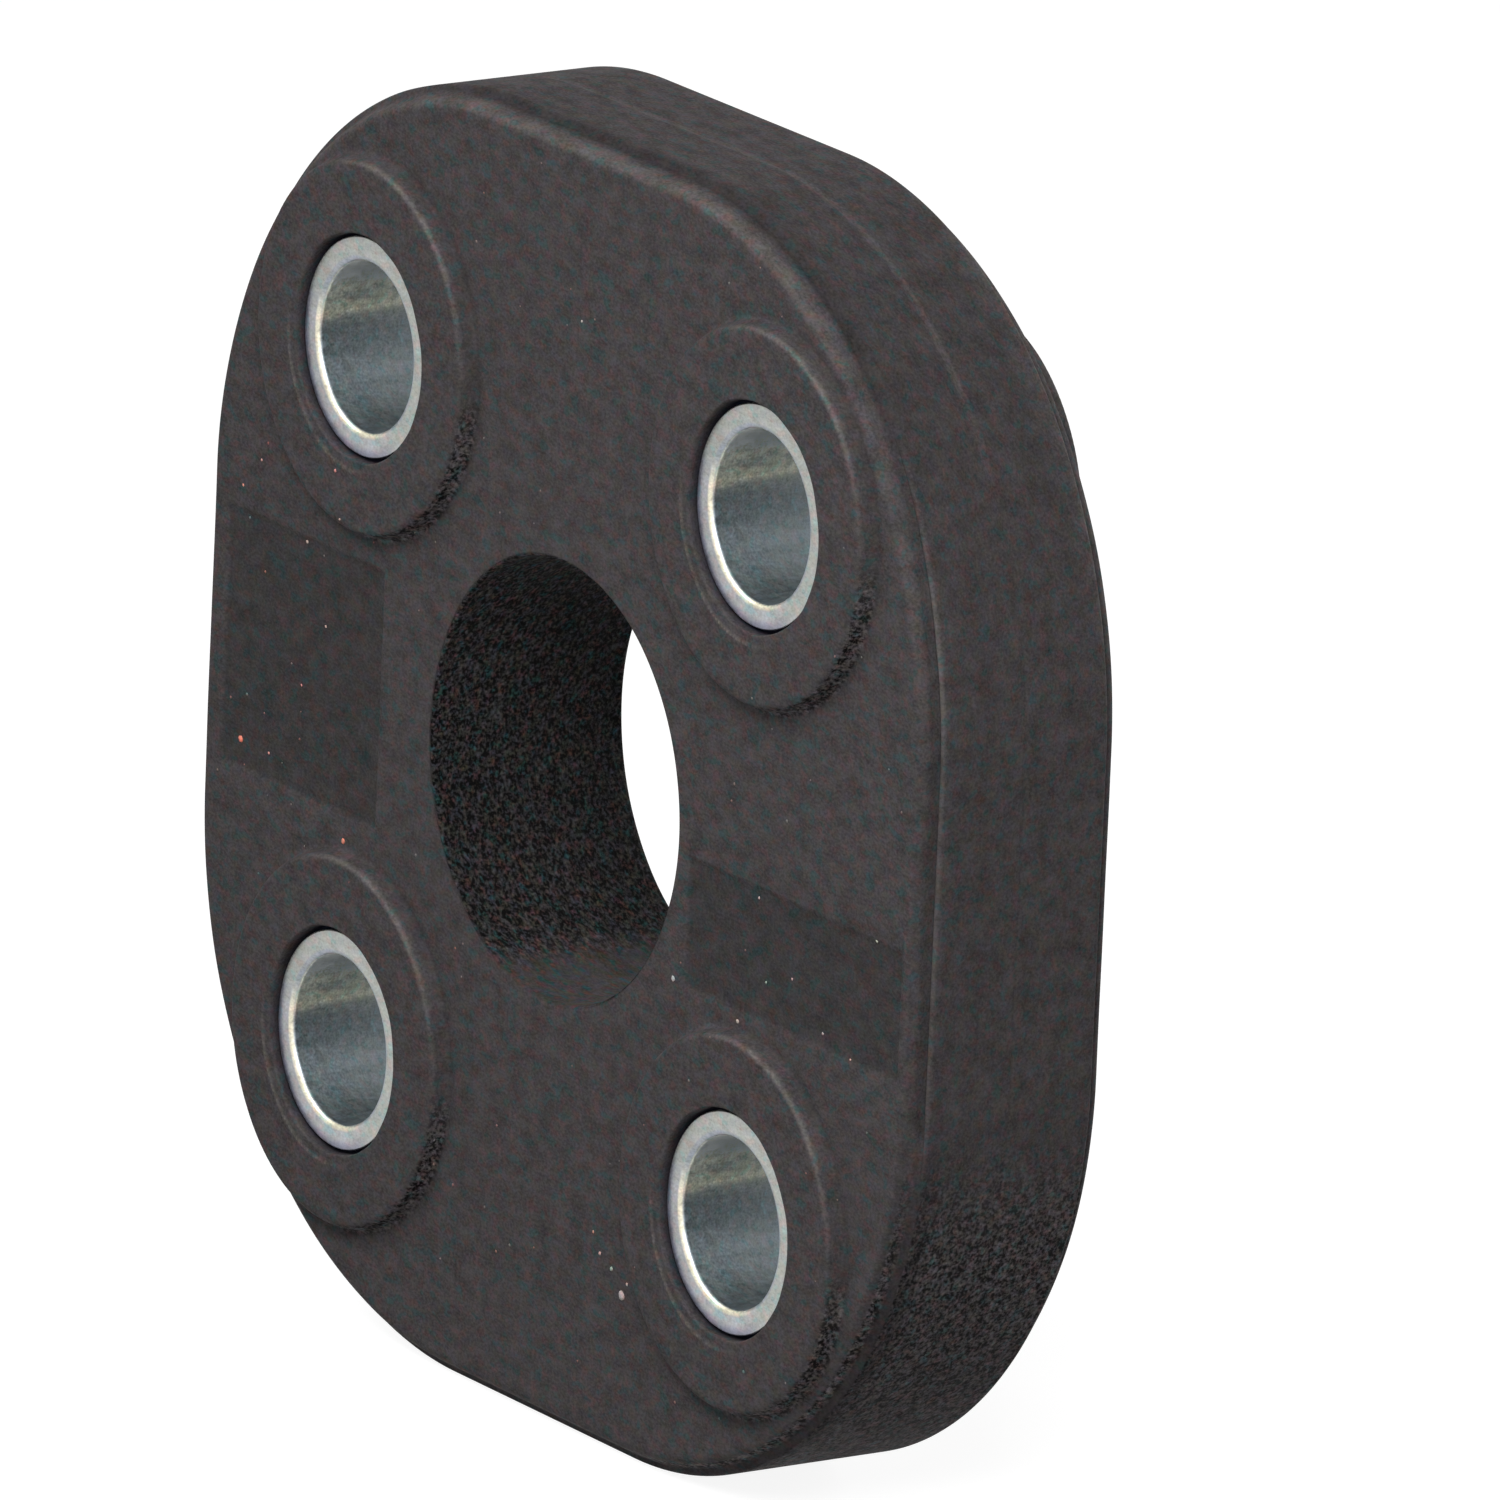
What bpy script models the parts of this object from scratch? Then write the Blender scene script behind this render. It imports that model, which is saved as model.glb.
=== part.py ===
"""Steering coupling: a moulded rubber disc that joins the flanges of two steering shafts.

Four steel sleeves on a square pattern take the flange bolts, two bolts for each flange, and the
rubber between them gives a little as it passes the torque on. The disc stands upright on its bottom
flat: X runs across it, Y through its thickness with the front face towards -Y, and Z points up.
The origin is the middle of the bottom flat. All lengths are in metres.
"""

from math import cos, pi, radians, sin, sqrt

import bmesh
import bpy

# Sleeve pattern
PITCH_CIRCLE = 0.0600

# Rubber body: margins from a sleeve's axis out to the side flat and out to the corner
SIDE_MARGIN = 0.01764
CORNER_MARGIN = 0.01290
FACE_THICKNESS = 0.01350
CENTRE_HOLE = 0.02650
HOLE_EDGE = 0.00030

# Rim of each face: a rounded edge, a mould groove and a thin lip, then the side wall
RIM_RADIUS = 0.00070
GROOVE_WIDTH = 0.00035
GROOVE_DEPTH = 0.00150
LIP_WIDTH = 0.00035
LIP_DROP = 0.00110
LIP_ROUND = 0.00020

# Parting seam round the middle of the side wall
SEAM_WIDTH = 0.00050
SEAM_DEPTH = 0.00015

# Raised boss round each sleeve, on both faces
BOSS_HEIGHT = 0.00105
BOSS_FOOT = 0.02310
BOSS_TOP = 0.02280
BOSS_EDGE = 0.00042
BOSS_ROOT = 0.00100

# Steel sleeves
SLEEVE_OUTER = 0.01320
SLEEVE_BORE = 0.01020
BORE_CHAMFER = 0.00025
SLEEVE_SUNK = 0.00050
SLEEVE_GAP = 0.00030

# Bare marking fields sunk in the front face: inner end, length, top edge and height of each,
# measured outwards and upwards from the disc's centre
LEFT_FIELD_START = 0.01880
LEFT_FIELD_LENGTH = 0.01740
LEFT_FIELD_TOP = 0.00820
LEFT_FIELD_HEIGHT = 0.01600
RIGHT_FIELD_START = 0.01450
RIGHT_FIELD_LENGTH = 0.02270
RIGHT_FIELD_TOP = -0.00070
RIGHT_FIELD_HEIGHT = 0.00810
FIELD_DEPTH = 0.00025

# Facets
CORNER_STEPS = 16
RIM_STEPS = 3
BOSS_STEPS = 48
SLEEVE_STEPS = 48
HOLE_STEPS = 64
CUT_PAST = 0.002
SHARP_ANGLE = radians(30)

# Finishes: colour, roughness and metallic value
RUBBER_FINISH = ((0.060, 0.053, 0.054, 1.0), 0.62, 0.0)
ZINC_FINISH = ((0.420, 0.460, 0.480, 1.0), 0.36, 1.0)

# Sizes worked out from the ones above
SLEEVE_OFFSET = PITCH_CIRCLE / 2 / sqrt(2)
HALF_WIDTH = SLEEVE_OFFSET + SIDE_MARGIN
CORNER_REACH = PITCH_CIRCLE / 2 + CORNER_MARGIN
CORNER_RADIUS = (sqrt(2) * HALF_WIDTH - CORNER_REACH) / (sqrt(2) - 1)
HALF_FACE = FACE_THICKNESS / 2
HALF_OVER_BOSSES = HALF_FACE + BOSS_HEIGHT
HALF_SLEEVE = HALF_OVER_BOSSES - SLEEVE_SUNK
SLEEVE_HOLE_RADIUS = SLEEVE_OUTER / 2 + SLEEVE_GAP
CENTRE_HEIGHT = HALF_WIDTH

CORNERS = {
    "top_left": (-1, 1),
    "top_right": (1, 1),
    "bottom_left": (-1, -1),
    "bottom_right": (1, -1),
}


def clear_scene():
    """Remove whatever the scene holds, so that the part stands alone."""
    for item in list(bpy.data.objects):
        bpy.data.objects.remove(item, do_unlink=True)


def make_material(name, finish):
    """A plain Principled material with its colour, roughness and metallic value."""
    colour, roughness, metallic = finish
    material = bpy.data.materials.new(name)
    material.use_nodes = True
    shader = material.node_tree.nodes["Principled BSDF"]
    shader.inputs["Base Color"].default_value = colour
    shader.inputs["Roughness"].default_value = roughness
    shader.inputs["Metallic"].default_value = metallic
    material.diffuse_color = colour
    return material


def finish_mesh(name, shape):
    """Turn a bmesh into a mesh whose faces point outwards and whose round walls shade smooth."""
    bmesh.ops.recalc_face_normals(shape, faces=shape.faces)
    mesh = bpy.data.meshes.new(name)
    shape.to_mesh(mesh)
    shape.free()
    mesh.shade_smooth()
    mesh.set_sharp_from_angle(angle=SHARP_ANGLE)
    return mesh


def add_object(name, mesh, location, collection=None):
    """Place a mesh in the scene as a named object."""
    item = bpy.data.objects.new(name, mesh)
    item.location = location
    (collection or bpy.context.scene.collection).objects.link(item)
    return item


def hide_helper(item):
    """Mark an object as a cutter or a joining shape, which isn't part of the model."""
    item.hide_render = True
    item.display_type = "WIRE"


def rounded_square(inset):
    """Points round the body's outline, moved inwards by the inset, in the XZ plane."""
    middle = HALF_WIDTH - CORNER_RADIUS
    radius = CORNER_RADIUS - inset
    points = []
    for quarter, (side, up) in enumerate(((1, 1), (-1, 1), (-1, -1), (1, -1))):
        for step in range(CORNER_STEPS + 1):
            turn = pi / 2 * (quarter + step / CORNER_STEPS)
            points.append((side * middle + radius * cos(turn), up * middle + radius * sin(turn)))
    return points


def rim_profile():
    """Inset and depth of the rim, from the edge of the face to the side wall."""
    groove_inset = LIP_WIDTH + GROOVE_WIDTH
    profile = []
    for step in range(RIM_STEPS + 1):
        turn = pi / 2 * step / RIM_STEPS
        profile.append((groove_inset + RIM_RADIUS * (1 - sin(turn)), RIM_RADIUS * (1 - cos(turn))))
    profile.append((groove_inset, GROOVE_DEPTH))
    profile.append((LIP_WIDTH, GROOVE_DEPTH))
    profile.append((LIP_WIDTH, LIP_DROP))
    profile.append((LIP_ROUND, LIP_DROP))
    profile.append((0.0, LIP_DROP + LIP_ROUND))
    return profile


def wall_profile():
    """Inset and Y of every row of the body, from the front face over the side wall to the back."""
    rim = rim_profile()
    front = [(inset, depth - HALF_FACE) for inset, depth in rim]
    seam = [(0.0, -SEAM_WIDTH / 2), (SEAM_DEPTH, 0.0), (0.0, SEAM_WIDTH / 2)]
    back = [(inset, HALF_FACE - depth) for inset, depth in reversed(rim)]
    return front + seam + back


def body_mesh():
    """The disc without its bosses and holes: rows of the outline bridged from face to face."""
    shape = bmesh.new()
    loops = []
    for inset, y in wall_profile():
        loops.append([shape.verts.new((x, y, z)) for x, z in rounded_square(inset)])
    for upper, lower in zip(loops, loops[1:]):
        for index, vertex in enumerate(upper):
            after = (index + 1) % len(upper)
            shape.faces.new((vertex, upper[after], lower[after], lower[index]))
    shape.faces.new(loops[0])
    shape.faces.new(reversed(loops[-1]))
    return finish_mesh("rubber_body", shape)


def turned_mesh(name, profile, steps, is_ring):
    """Spin a profile of radius and Y points round the Y axis, as a ring or as a solid."""
    shape = bmesh.new()
    row = [shape.verts.new((radius, y, 0.0)) for radius, y in profile]
    edges = [shape.edges.new(pair) for pair in zip(row, row[1:])]
    if is_ring:
        edges.append(shape.edges.new((row[-1], row[0])))
    bmesh.ops.spin(shape, geom=row + edges, cent=(0, 0, 0), axis=(0, 1, 0), angle=2 * pi, steps=steps)
    bmesh.ops.remove_doubles(shape, verts=shape.verts, dist=1e-7)
    return finish_mesh(name, shape)


def boss_mesh(facing):
    """A raised boss on the front face (facing -1) or the back face (facing 1), rooted in the body."""
    foot = BOSS_FOOT / 2
    top = BOSS_TOP / 2
    inner = SLEEVE_HOLE_RADIUS / 2
    profile = [(inner, HALF_FACE - BOSS_ROOT), (foot, HALF_FACE - BOSS_ROOT), (foot, HALF_FACE)]
    for step in range(RIM_STEPS + 1):
        turn = pi / 2 * step / RIM_STEPS
        radius = top - BOSS_EDGE * (1 - cos(turn))
        profile.append((radius, HALF_OVER_BOSSES - BOSS_EDGE * (1 - sin(turn))))
    profile.append((inner, HALF_OVER_BOSSES))
    return turned_mesh("boss", [(radius, facing * y) for radius, y in profile], BOSS_STEPS, True)


def sleeve_mesh():
    """A plain steel tube with both bore mouths chamfered."""
    outer = SLEEVE_OUTER / 2
    bore = SLEEVE_BORE / 2
    mouth = bore + BORE_CHAMFER
    profile = [
        (outer, -HALF_SLEEVE),
        (outer, HALF_SLEEVE),
        (mouth, HALF_SLEEVE),
        (bore, HALF_SLEEVE - BORE_CHAMFER),
        (bore, BORE_CHAMFER - HALF_SLEEVE),
        (mouth, -HALF_SLEEVE),
    ]
    return turned_mesh("sleeve", profile, SLEEVE_STEPS, True)


def hole_cutter_mesh(radius):
    """A cylinder that runs past both sides of the disc."""
    reach = HALF_OVER_BOSSES + CUT_PAST
    profile = [(0.0, -reach), (radius, -reach), (radius, reach), (0.0, reach)]
    return turned_mesh("sleeve_hole", profile, SLEEVE_STEPS, False)


def centre_cutter_mesh():
    """The central hole's cutter, flared at both faces to break the hole's edges."""
    radius = CENTRE_HOLE / 2
    reach = HALF_FACE + CUT_PAST
    flare = radius + HOLE_EDGE + CUT_PAST
    profile = [
        (0.0, -reach),
        (flare, -reach),
        (radius, HOLE_EDGE - HALF_FACE),
        (radius, HALF_FACE - HOLE_EDGE),
        (flare, reach),
        (0.0, reach),
    ]
    return turned_mesh("centre_hole", profile, HOLE_STEPS, False)


def field_cutter_mesh(side, start, length, top, height):
    """A block that sinks one marking field into the front face, on the left (-1) or right (1)."""
    shape = bmesh.new()
    bmesh.ops.create_cube(shape, size=1.0)
    middle = (side * (start + length / 2), -HALF_FACE, top - height / 2)
    for vertex in shape.verts:
        vertex.co.x = middle[0] + vertex.co.x * length
        vertex.co.y = middle[1] + vertex.co.y * 2 * FIELD_DEPTH
        vertex.co.z = middle[2] + vertex.co.z * height
    return finish_mesh("marking_field", shape)


def sleeve_place(corner):
    """Where a sleeve's middle stands."""
    side, up = CORNERS[corner]
    return (side * SLEEVE_OFFSET, 0.0, CENTRE_HEIGHT + up * SLEEVE_OFFSET)


def make_helpers():
    """The bosses to join to the body and the cutters to take out of it, in two collections."""
    joined = bpy.data.collections.new("bosses")
    cut = bpy.data.collections.new("cutters")
    for collection in (joined, cut):
        bpy.context.scene.collection.children.link(collection)
    front_boss = boss_mesh(-1)
    back_boss = boss_mesh(1)
    sleeve_hole = hole_cutter_mesh(SLEEVE_HOLE_RADIUS)
    for corner in CORNERS:
        place = sleeve_place(corner)
        hide_helper(add_object(f"front_boss_{corner}", front_boss, place, joined))
        hide_helper(add_object(f"back_boss_{corner}", back_boss, place, joined))
        hide_helper(add_object(f"hole_{corner}", sleeve_hole, place, cut))
    centre = (0.0, 0.0, CENTRE_HEIGHT)
    hide_helper(add_object("hole_centre", centre_cutter_mesh(), centre, cut))
    left = field_cutter_mesh(-1, LEFT_FIELD_START, LEFT_FIELD_LENGTH, LEFT_FIELD_TOP, LEFT_FIELD_HEIGHT)
    hide_helper(add_object("field_left", left, centre, cut))
    right = field_cutter_mesh(1, RIGHT_FIELD_START, RIGHT_FIELD_LENGTH, RIGHT_FIELD_TOP, RIGHT_FIELD_HEIGHT)
    hide_helper(add_object("field_right", right, centre, cut))
    return joined, cut


def add_boolean(item, operation, collection):
    """Join or cut an object with everything in a collection."""
    modifier = item.modifiers.new(operation.lower(), "BOOLEAN")
    modifier.operation = operation
    modifier.operand_type = "COLLECTION"
    modifier.collection = collection
    modifier.solver = "EXACT"


def make_rubber_body(material):
    """The moulded body: outline, rims and seam, eight bosses, five holes and two bare fields."""
    joined, cut = make_helpers()
    body = add_object("rubber_body", body_mesh(), (0.0, 0.0, CENTRE_HEIGHT))
    body.data.materials.append(material)
    add_boolean(body, "UNION", joined)
    add_boolean(body, "DIFFERENCE", cut)
    return body


def make_sleeves(material, carrier):
    """Four steel sleeves on one shared mesh, carried by the rubber body."""
    mesh = sleeve_mesh()
    mesh.materials.append(material)
    for corner in CORNERS:
        x, y, z = sleeve_place(corner)
        sleeve = add_object(f"sleeve_{corner}", mesh, (x, y, z - CENTRE_HEIGHT))
        sleeve.parent = carrier


def main():
    clear_scene()
    body = make_rubber_body(make_material("rubber", RUBBER_FINISH))
    make_sleeves(make_material("zinc_plated_steel", ZINC_FINISH), body)


main()
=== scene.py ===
"""Looks of the steering coupling: the moulded rubber disc, its steel sleeves, dust and the stage.

The file is laid out as an add-on with sizes and finishes in the sidebar, and is run as a script.
X runs across the disc, Y through it with the front face towards -Y, and Z points up. The origin is
the middle of the bottom flat. All lengths are in metres.
"""

from math import cos, pi, radians, sin

import bmesh
import bpy
import numpy as np
from bpy.props import FloatProperty, FloatVectorProperty, PointerProperty
from mathutils import Matrix, Vector
from mathutils.geometry import delaunay_2d_cdt


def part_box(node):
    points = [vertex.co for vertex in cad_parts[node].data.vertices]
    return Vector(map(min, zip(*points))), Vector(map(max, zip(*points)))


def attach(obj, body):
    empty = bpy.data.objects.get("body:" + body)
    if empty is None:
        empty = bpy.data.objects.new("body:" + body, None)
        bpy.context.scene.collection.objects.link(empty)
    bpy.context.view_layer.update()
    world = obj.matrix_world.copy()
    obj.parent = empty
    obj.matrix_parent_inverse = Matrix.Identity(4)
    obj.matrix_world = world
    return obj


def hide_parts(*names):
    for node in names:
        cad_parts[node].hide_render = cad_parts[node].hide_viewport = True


bl_info = {
    "name": "Steering Coupling",
    "version": (1, 0, 0),
    "blender": (4, 5, 0),
    "location": "View3D > Sidebar > Coupling",
    "description": "Builds the moulded disc, its sleeves, its dust and the stage",
    "category": "Object",
}

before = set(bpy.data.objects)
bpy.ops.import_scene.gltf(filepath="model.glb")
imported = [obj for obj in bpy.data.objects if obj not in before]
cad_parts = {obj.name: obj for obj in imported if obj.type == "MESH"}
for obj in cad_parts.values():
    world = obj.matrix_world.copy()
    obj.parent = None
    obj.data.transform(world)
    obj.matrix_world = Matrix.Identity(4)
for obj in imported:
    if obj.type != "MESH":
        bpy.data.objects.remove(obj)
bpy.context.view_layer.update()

BODY = "root"
DISC_NODE = "rubber_body"
SLEEVE_NODES = ("sleeve_top_left", "sleeve_top_right", "sleeve_bottom_left", "sleeve_bottom_right")


def middle_of(node):
    """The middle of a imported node's box."""
    low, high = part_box(node)
    return (low + high) / 2


DISC_LOW, DISC_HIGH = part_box(DISC_NODE)
SLEEVE_LOW, SLEEVE_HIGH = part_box(SLEEVE_NODES[0])
DISC_CENTRE = middle_of(DISC_NODE)
SLEEVE_CENTRES = {node: middle_of(node) for node in SLEEVE_NODES}
SLEEVE_OFFSET = abs(SLEEVE_CENTRES[SLEEVE_NODES[0]].x - DISC_CENTRE.x)

# Thickness between the disc's two main faces, and how far each boss stands out of its face
FACE_THICKNESS = 0.0135
BOSS_HEIGHT = (DISC_HIGH.y - DISC_LOW.y) / 2 - FACE_THICKNESS / 2

# Mesh fineness
FLAT_STEPS = 24
QUARTER_STEPS = 72
RING_STEPS = 144
HOLE_STEPS = 224
FILL_SPACING = 0.0024
FEATURE_GAP = 0.00003
FILL_GAP = 0.0011
MERGE = 1e-6


def length_setting(name, description, default, precision=4):
    """A length in the sidebar."""
    return FloatProperty(
        name=name, description=description, default=default, unit="LENGTH", precision=precision
    )


def colour_setting(name, description, colour):
    """A colour in the sidebar, from its red, green and blue."""
    return FloatVectorProperty(
        name=name, description=description, default=(*colour, 1.0), size=4, subtype="COLOR", min=0.0, max=1.0
    )


class DiscSizes(bpy.types.PropertyGroup):
    """Sizes of the moulded rubber disc."""

    width: length_setting("Width", "Across the flats", DISC_HIGH.x - DISC_LOW.x)
    corner_radius: length_setting("Corner Radius", "Radius of the outline's corners", 0.02908)
    face_thickness: length_setting("Face Thickness", "Between the two main faces", FACE_THICKNESS)
    rim_radius: length_setting("Rim Radius", "Rounding of each face's edge", 0.0007, 5)
    groove_inset: length_setting("Groove Inset", "From the wall in to the groove's inner side", 0.0007, 5)
    boss_height: length_setting("Boss Height", "How far each boss stands out of its face", BOSS_HEIGHT, 5)
    boss_foot: length_setting("Boss Foot", "Diameter of each boss at its foot", 0.0229)
    boss_top: length_setting("Boss Top", "Diameter of the flat on top of each boss", 0.0216)
    boss_edge: length_setting("Boss Edge", "Rounding of each boss's top edge", 0.00042, 5)
    boss_root: length_setting("Boss Root", "Softness of each boss's foot, as a height", 0.00040, 5)
    centre_hole: length_setting("Centre Hole", "Diameter of the hole in the middle", 0.0265)
    hole_edge: length_setting("Hole Edge", "Rounding of the middle hole's edges", 0.0003, 5)
    mouth: length_setting("Sleeve Mouth", "Diameter of the rubber's mouth round each sleeve", 0.0137)
    mouth_edge: length_setting("Mouth Edge", "Rounding of each mouth's edge", 0.00012, 5)
    field_depth: length_setting("Field Depth", "How deep the bare marking fields are sunk", 0.00014, 5)


class SleeveSizes(bpy.types.PropertyGroup):
    """Sizes of the steel sleeves."""

    outer: length_setting("Outside", "Outside diameter", SLEEVE_HIGH.x - SLEEVE_LOW.x)
    bore: length_setting("Bore", "Bore for the flange bolt", 0.0102)
    length: length_setting("Length", "Length along the bolt", SLEEVE_HIGH.y - SLEEVE_LOW.y)
    bore_edge: length_setting("Bore Edge", "Rounding of the bore's two mouths", 0.00036, 5)
    outer_edge: length_setting("Outer Edge", "Rounding of the outside edges", 0.00010, 5)


class Finishes(bpy.types.PropertyGroup):
    """Colours of the rubber, the zinc plating and the dust."""

    rubber: colour_setting("Rubber", "Moulded faces", (0.0606, 0.0538, 0.0554))
    # Painted shade on the middle hole's wall, and painted light on its low part, which faces up
    rubber_shaded_in_hole: colour_setting("Rubber In Hole", "Rough wall of the middle hole", (0.0174, 0.0158, 0.0160))
    rubber_lit_low_in_hole: colour_setting("Rubber Low In Hole", "Bottom of the middle hole", (0.045, 0.040, 0.040))
    rubber_field: colour_setting("Rubber In Fields", "Bare marking fields", (0.0430, 0.0394, 0.0402))
    # Painted shadow, bluish, in the recess round each sleeve
    mouth: colour_setting("Rubber Round Sleeves", "Dark line round each sleeve", (0.0135, 0.0130, 0.0230))
    # Painted highlight along raised edges and painted shade in corners and grooves
    painted_highlight: colour_setting("Bloom", "Paler rubber along raised edges", (0.1390, 0.1250, 0.1170))
    painted_shade: colour_setting("Grime", "Darker rubber in corners and grooves", (0.0330, 0.0290, 0.0300))
    zinc: colour_setting("Zinc", "Plated end rings", (0.365, 0.375, 0.355))
    zinc_lit: colour_setting("Zinc On Lit Side", "Lit side of the end rings", (0.395, 0.400, 0.410))
    zinc_outer: colour_setting("Zinc Beside Rubber", "Outside of the rings' lit side", (0.245, 0.250, 0.310))
    # Painted shade on each bore's edge, and painted light on its lit side
    chamfer: colour_setting("Chamfer", "Edge of each bore", (0.30, 0.32, 0.35))
    chamfer_lit: colour_setting("Chamfer On Lit Side", "Lit side of each bore's edge", (0.66, 0.62, 0.50))
    # Painted light in each bore: darker low down, paler higher up
    bore_zinc_in_shade: colour_setting("Zinc In Bores", "Lower part of each bore", (0.206, 0.238, 0.256))
    bore_zinc_lit: colour_setting("Zinc High In Bores", "Upper part of each bore", (0.560, 0.555, 0.510))
    # A yellowish painted reflection along each bore
    bore_reflection: colour_setting("Zinc Streak", "Yellowish streak along each bore", (0.900, 0.860, 0.670))
    dust: colour_setting("Dust", "Pale specks", (0.420, 0.390, 0.360))
    red_dust: colour_setting("Red Dust", "Reddish specks", (0.700, 0.230, 0.170))


class StageSettings(bpy.types.PropertyGroup):
    """Floor, light and camera."""

    floor: colour_setting("Floor", "Colour of the floor", (0.30, 0.30, 0.30))
    lamp_power: FloatProperty(
        name="Lamp Power",
        description="Power of all the soft lamps together, in watts",
        default=3.3,
        min=0.0,
    )
    sky: FloatProperty(
        name="Sky",
        description="Strength of the even light from all round",
        default=0.04,
        min=0.0,
    )
    lens: FloatProperty(
        name="Lens",
        description="Focal length in millimetres on a 36 mm sensor",
        default=662.4,
        min=1.0,
    )


def smooth_min(first, second, softness):
    """The lower of two heights, with the corner between them rounded off."""
    share = np.clip(0.5 + (second - first) / (2 * softness), 0.0, 1.0)
    return second + (first - second) * share - softness * share * (1 - share)


def smooth_max(first, second, softness):
    """The higher of two heights, with the corner between them filled in."""
    return -smooth_min(-first, -second, softness)


def smooth_step(value, start, end):
    """A soft ramp from 0 at the start to 1 at the end."""
    share = np.clip((value - start) / (end - start), 0.0, 1.0)
    return share * share * (3 - 2 * share)


def bump(value, middle, width):
    """A soft bump from 0 to 1 and back, round a middle value."""
    return np.exp(-(((value - middle) / width) ** 2))


def by_angle(degrees, table):
    """A value read off a table of directions in degrees."""
    angles, values = zip(*table)
    return np.interp(degrees, angles, values)


def round_off(distance, radius):
    """How far a rounded edge has dropped, that distance out from where the rounding starts."""
    share = np.clip(distance / radius, 0.0, 1.0)
    return radius * (1 - np.sqrt(1 - share * share))


# Bare marking fields on the front face: low and high corners, measured from the disc's centre, how
# soft their borders are and how close the points along them lie
FIELDS = (
    ((-0.0362, -0.0078), (-0.0188, 0.0082)),
    ((0.0145, -0.0088), (0.0372, -0.0007)),
)
FIELD_SOFTNESS = 0.00032
FIELD_STEP = 0.0005

# Faint unevenness of a face: cycles in a metre along X and Z, phase and height of each wave
FACE_WAVES = (
    (46.0, 21.0, 0.4, 0.000010),
    (-31.0, 58.0, 1.9, 0.000009),
    (83.0, 64.0, 3.1, 0.000005),
    (-97.0, 120.0, 0.9, 0.000004),
)

# Painted highlight, above 0, or painted shade, below 0, on the rubber's edges by the direction in degrees
# that they face: the rim's rounding, the bosses' crests, the bosses' feet, the seam and the wall
RIM_TONES = (
    (-180, 0.20), (-110, 0.20), (-60, 0.45), (-40, 0.20), (-25, -0.25), (-10, -0.40), (0, -0.10),
    (10, 0.15), (30, 0.15), (45, 0.20), (60, 0.48), (70, 0.85), (80, 0.85), (90, 0.75), (120, 0.30),
    (180, 0.20),
)
CREST_TONES = (
    (-180, 0.0), (-20, 0.0), (0, 0.1), (15, 0.5), (30, 1.0), (45, 1.6), (75, 1.9), (92, 1.3), (108, 0.2),
    (118, 0.0), (180, 0.0),
)
FOOT_TONES = (
    (-180, 0.0), (-80, 0.0), (-60, -0.35), (-40, -0.75), (-20, -0.5), (0, -0.45), (30, -0.5), (60, -0.6),
    (85, -0.3), (105, 0.0), (180, 0.0),
)
SEAM_TONES = ((-180, 0.0), (30, 0.0), (45, 0.6), (95, 0.6), (112, 0.0), (180, 0.0))
WALL_TONES = (
    (-180, 0.0), (0, 0.0), (10, -0.05), (28, -0.25), (45, -0.4), (95, -0.35), (130, 0.0), (180, 0.0),
)

# The tone at which an edge has the whole of the painted highlight's colour. At -1 it has the whole of
# the painted shade's
FULL_HIGHLIGHT = 2.0

# Bands of painted highlight along a boss's crest and of painted shade along its foot: the crest's place
# as a share of the edge's rounding, the widths of both and how far out from the foot the second lies.
# Then where the painted tones of the rim and of a boss start and end, from the rounding and from the foot
CREST_PLACE = 0.6
CREST_WIDTH = 0.00012
FOOT_WIDTH = 0.00032
FOOT_SHIFT = 0.0001
RIM_FADE = (-0.0004, -0.0001)
BOSS_FADE = (-0.0001, 0.0003)

# Uneven edge of a sleeve's mouth: lobes round it, phase and depth of each, and the shift in phase from
# one mouth to the next
MOUTH_SHIFT = 1.7
MOUTH_WAVES = ((2, 0.7, 0.00002), (5, 2.1, 0.000025), (9, 0.3, 0.000018), (16, 4.4, 0.000012))

# Thin flash line left by the mould outside each sleeve's mouth, on its lower left, with a beaded painted
# highlight along it
FLASH_RADIUS = 0.00752
FLASH_WIDTH = 0.00011
FLASH_HEIGHT = 0.00009
FLASH_HIGHLIGHT = 2.2
FLASH_BEADS = 47
FLASH_TURN = radians(228)
FLASH_REACH = radians(62)


# Border between a face and the wall, as a share of the rim's rounding in from the groove
FACE_EDGE = 0.07


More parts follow.
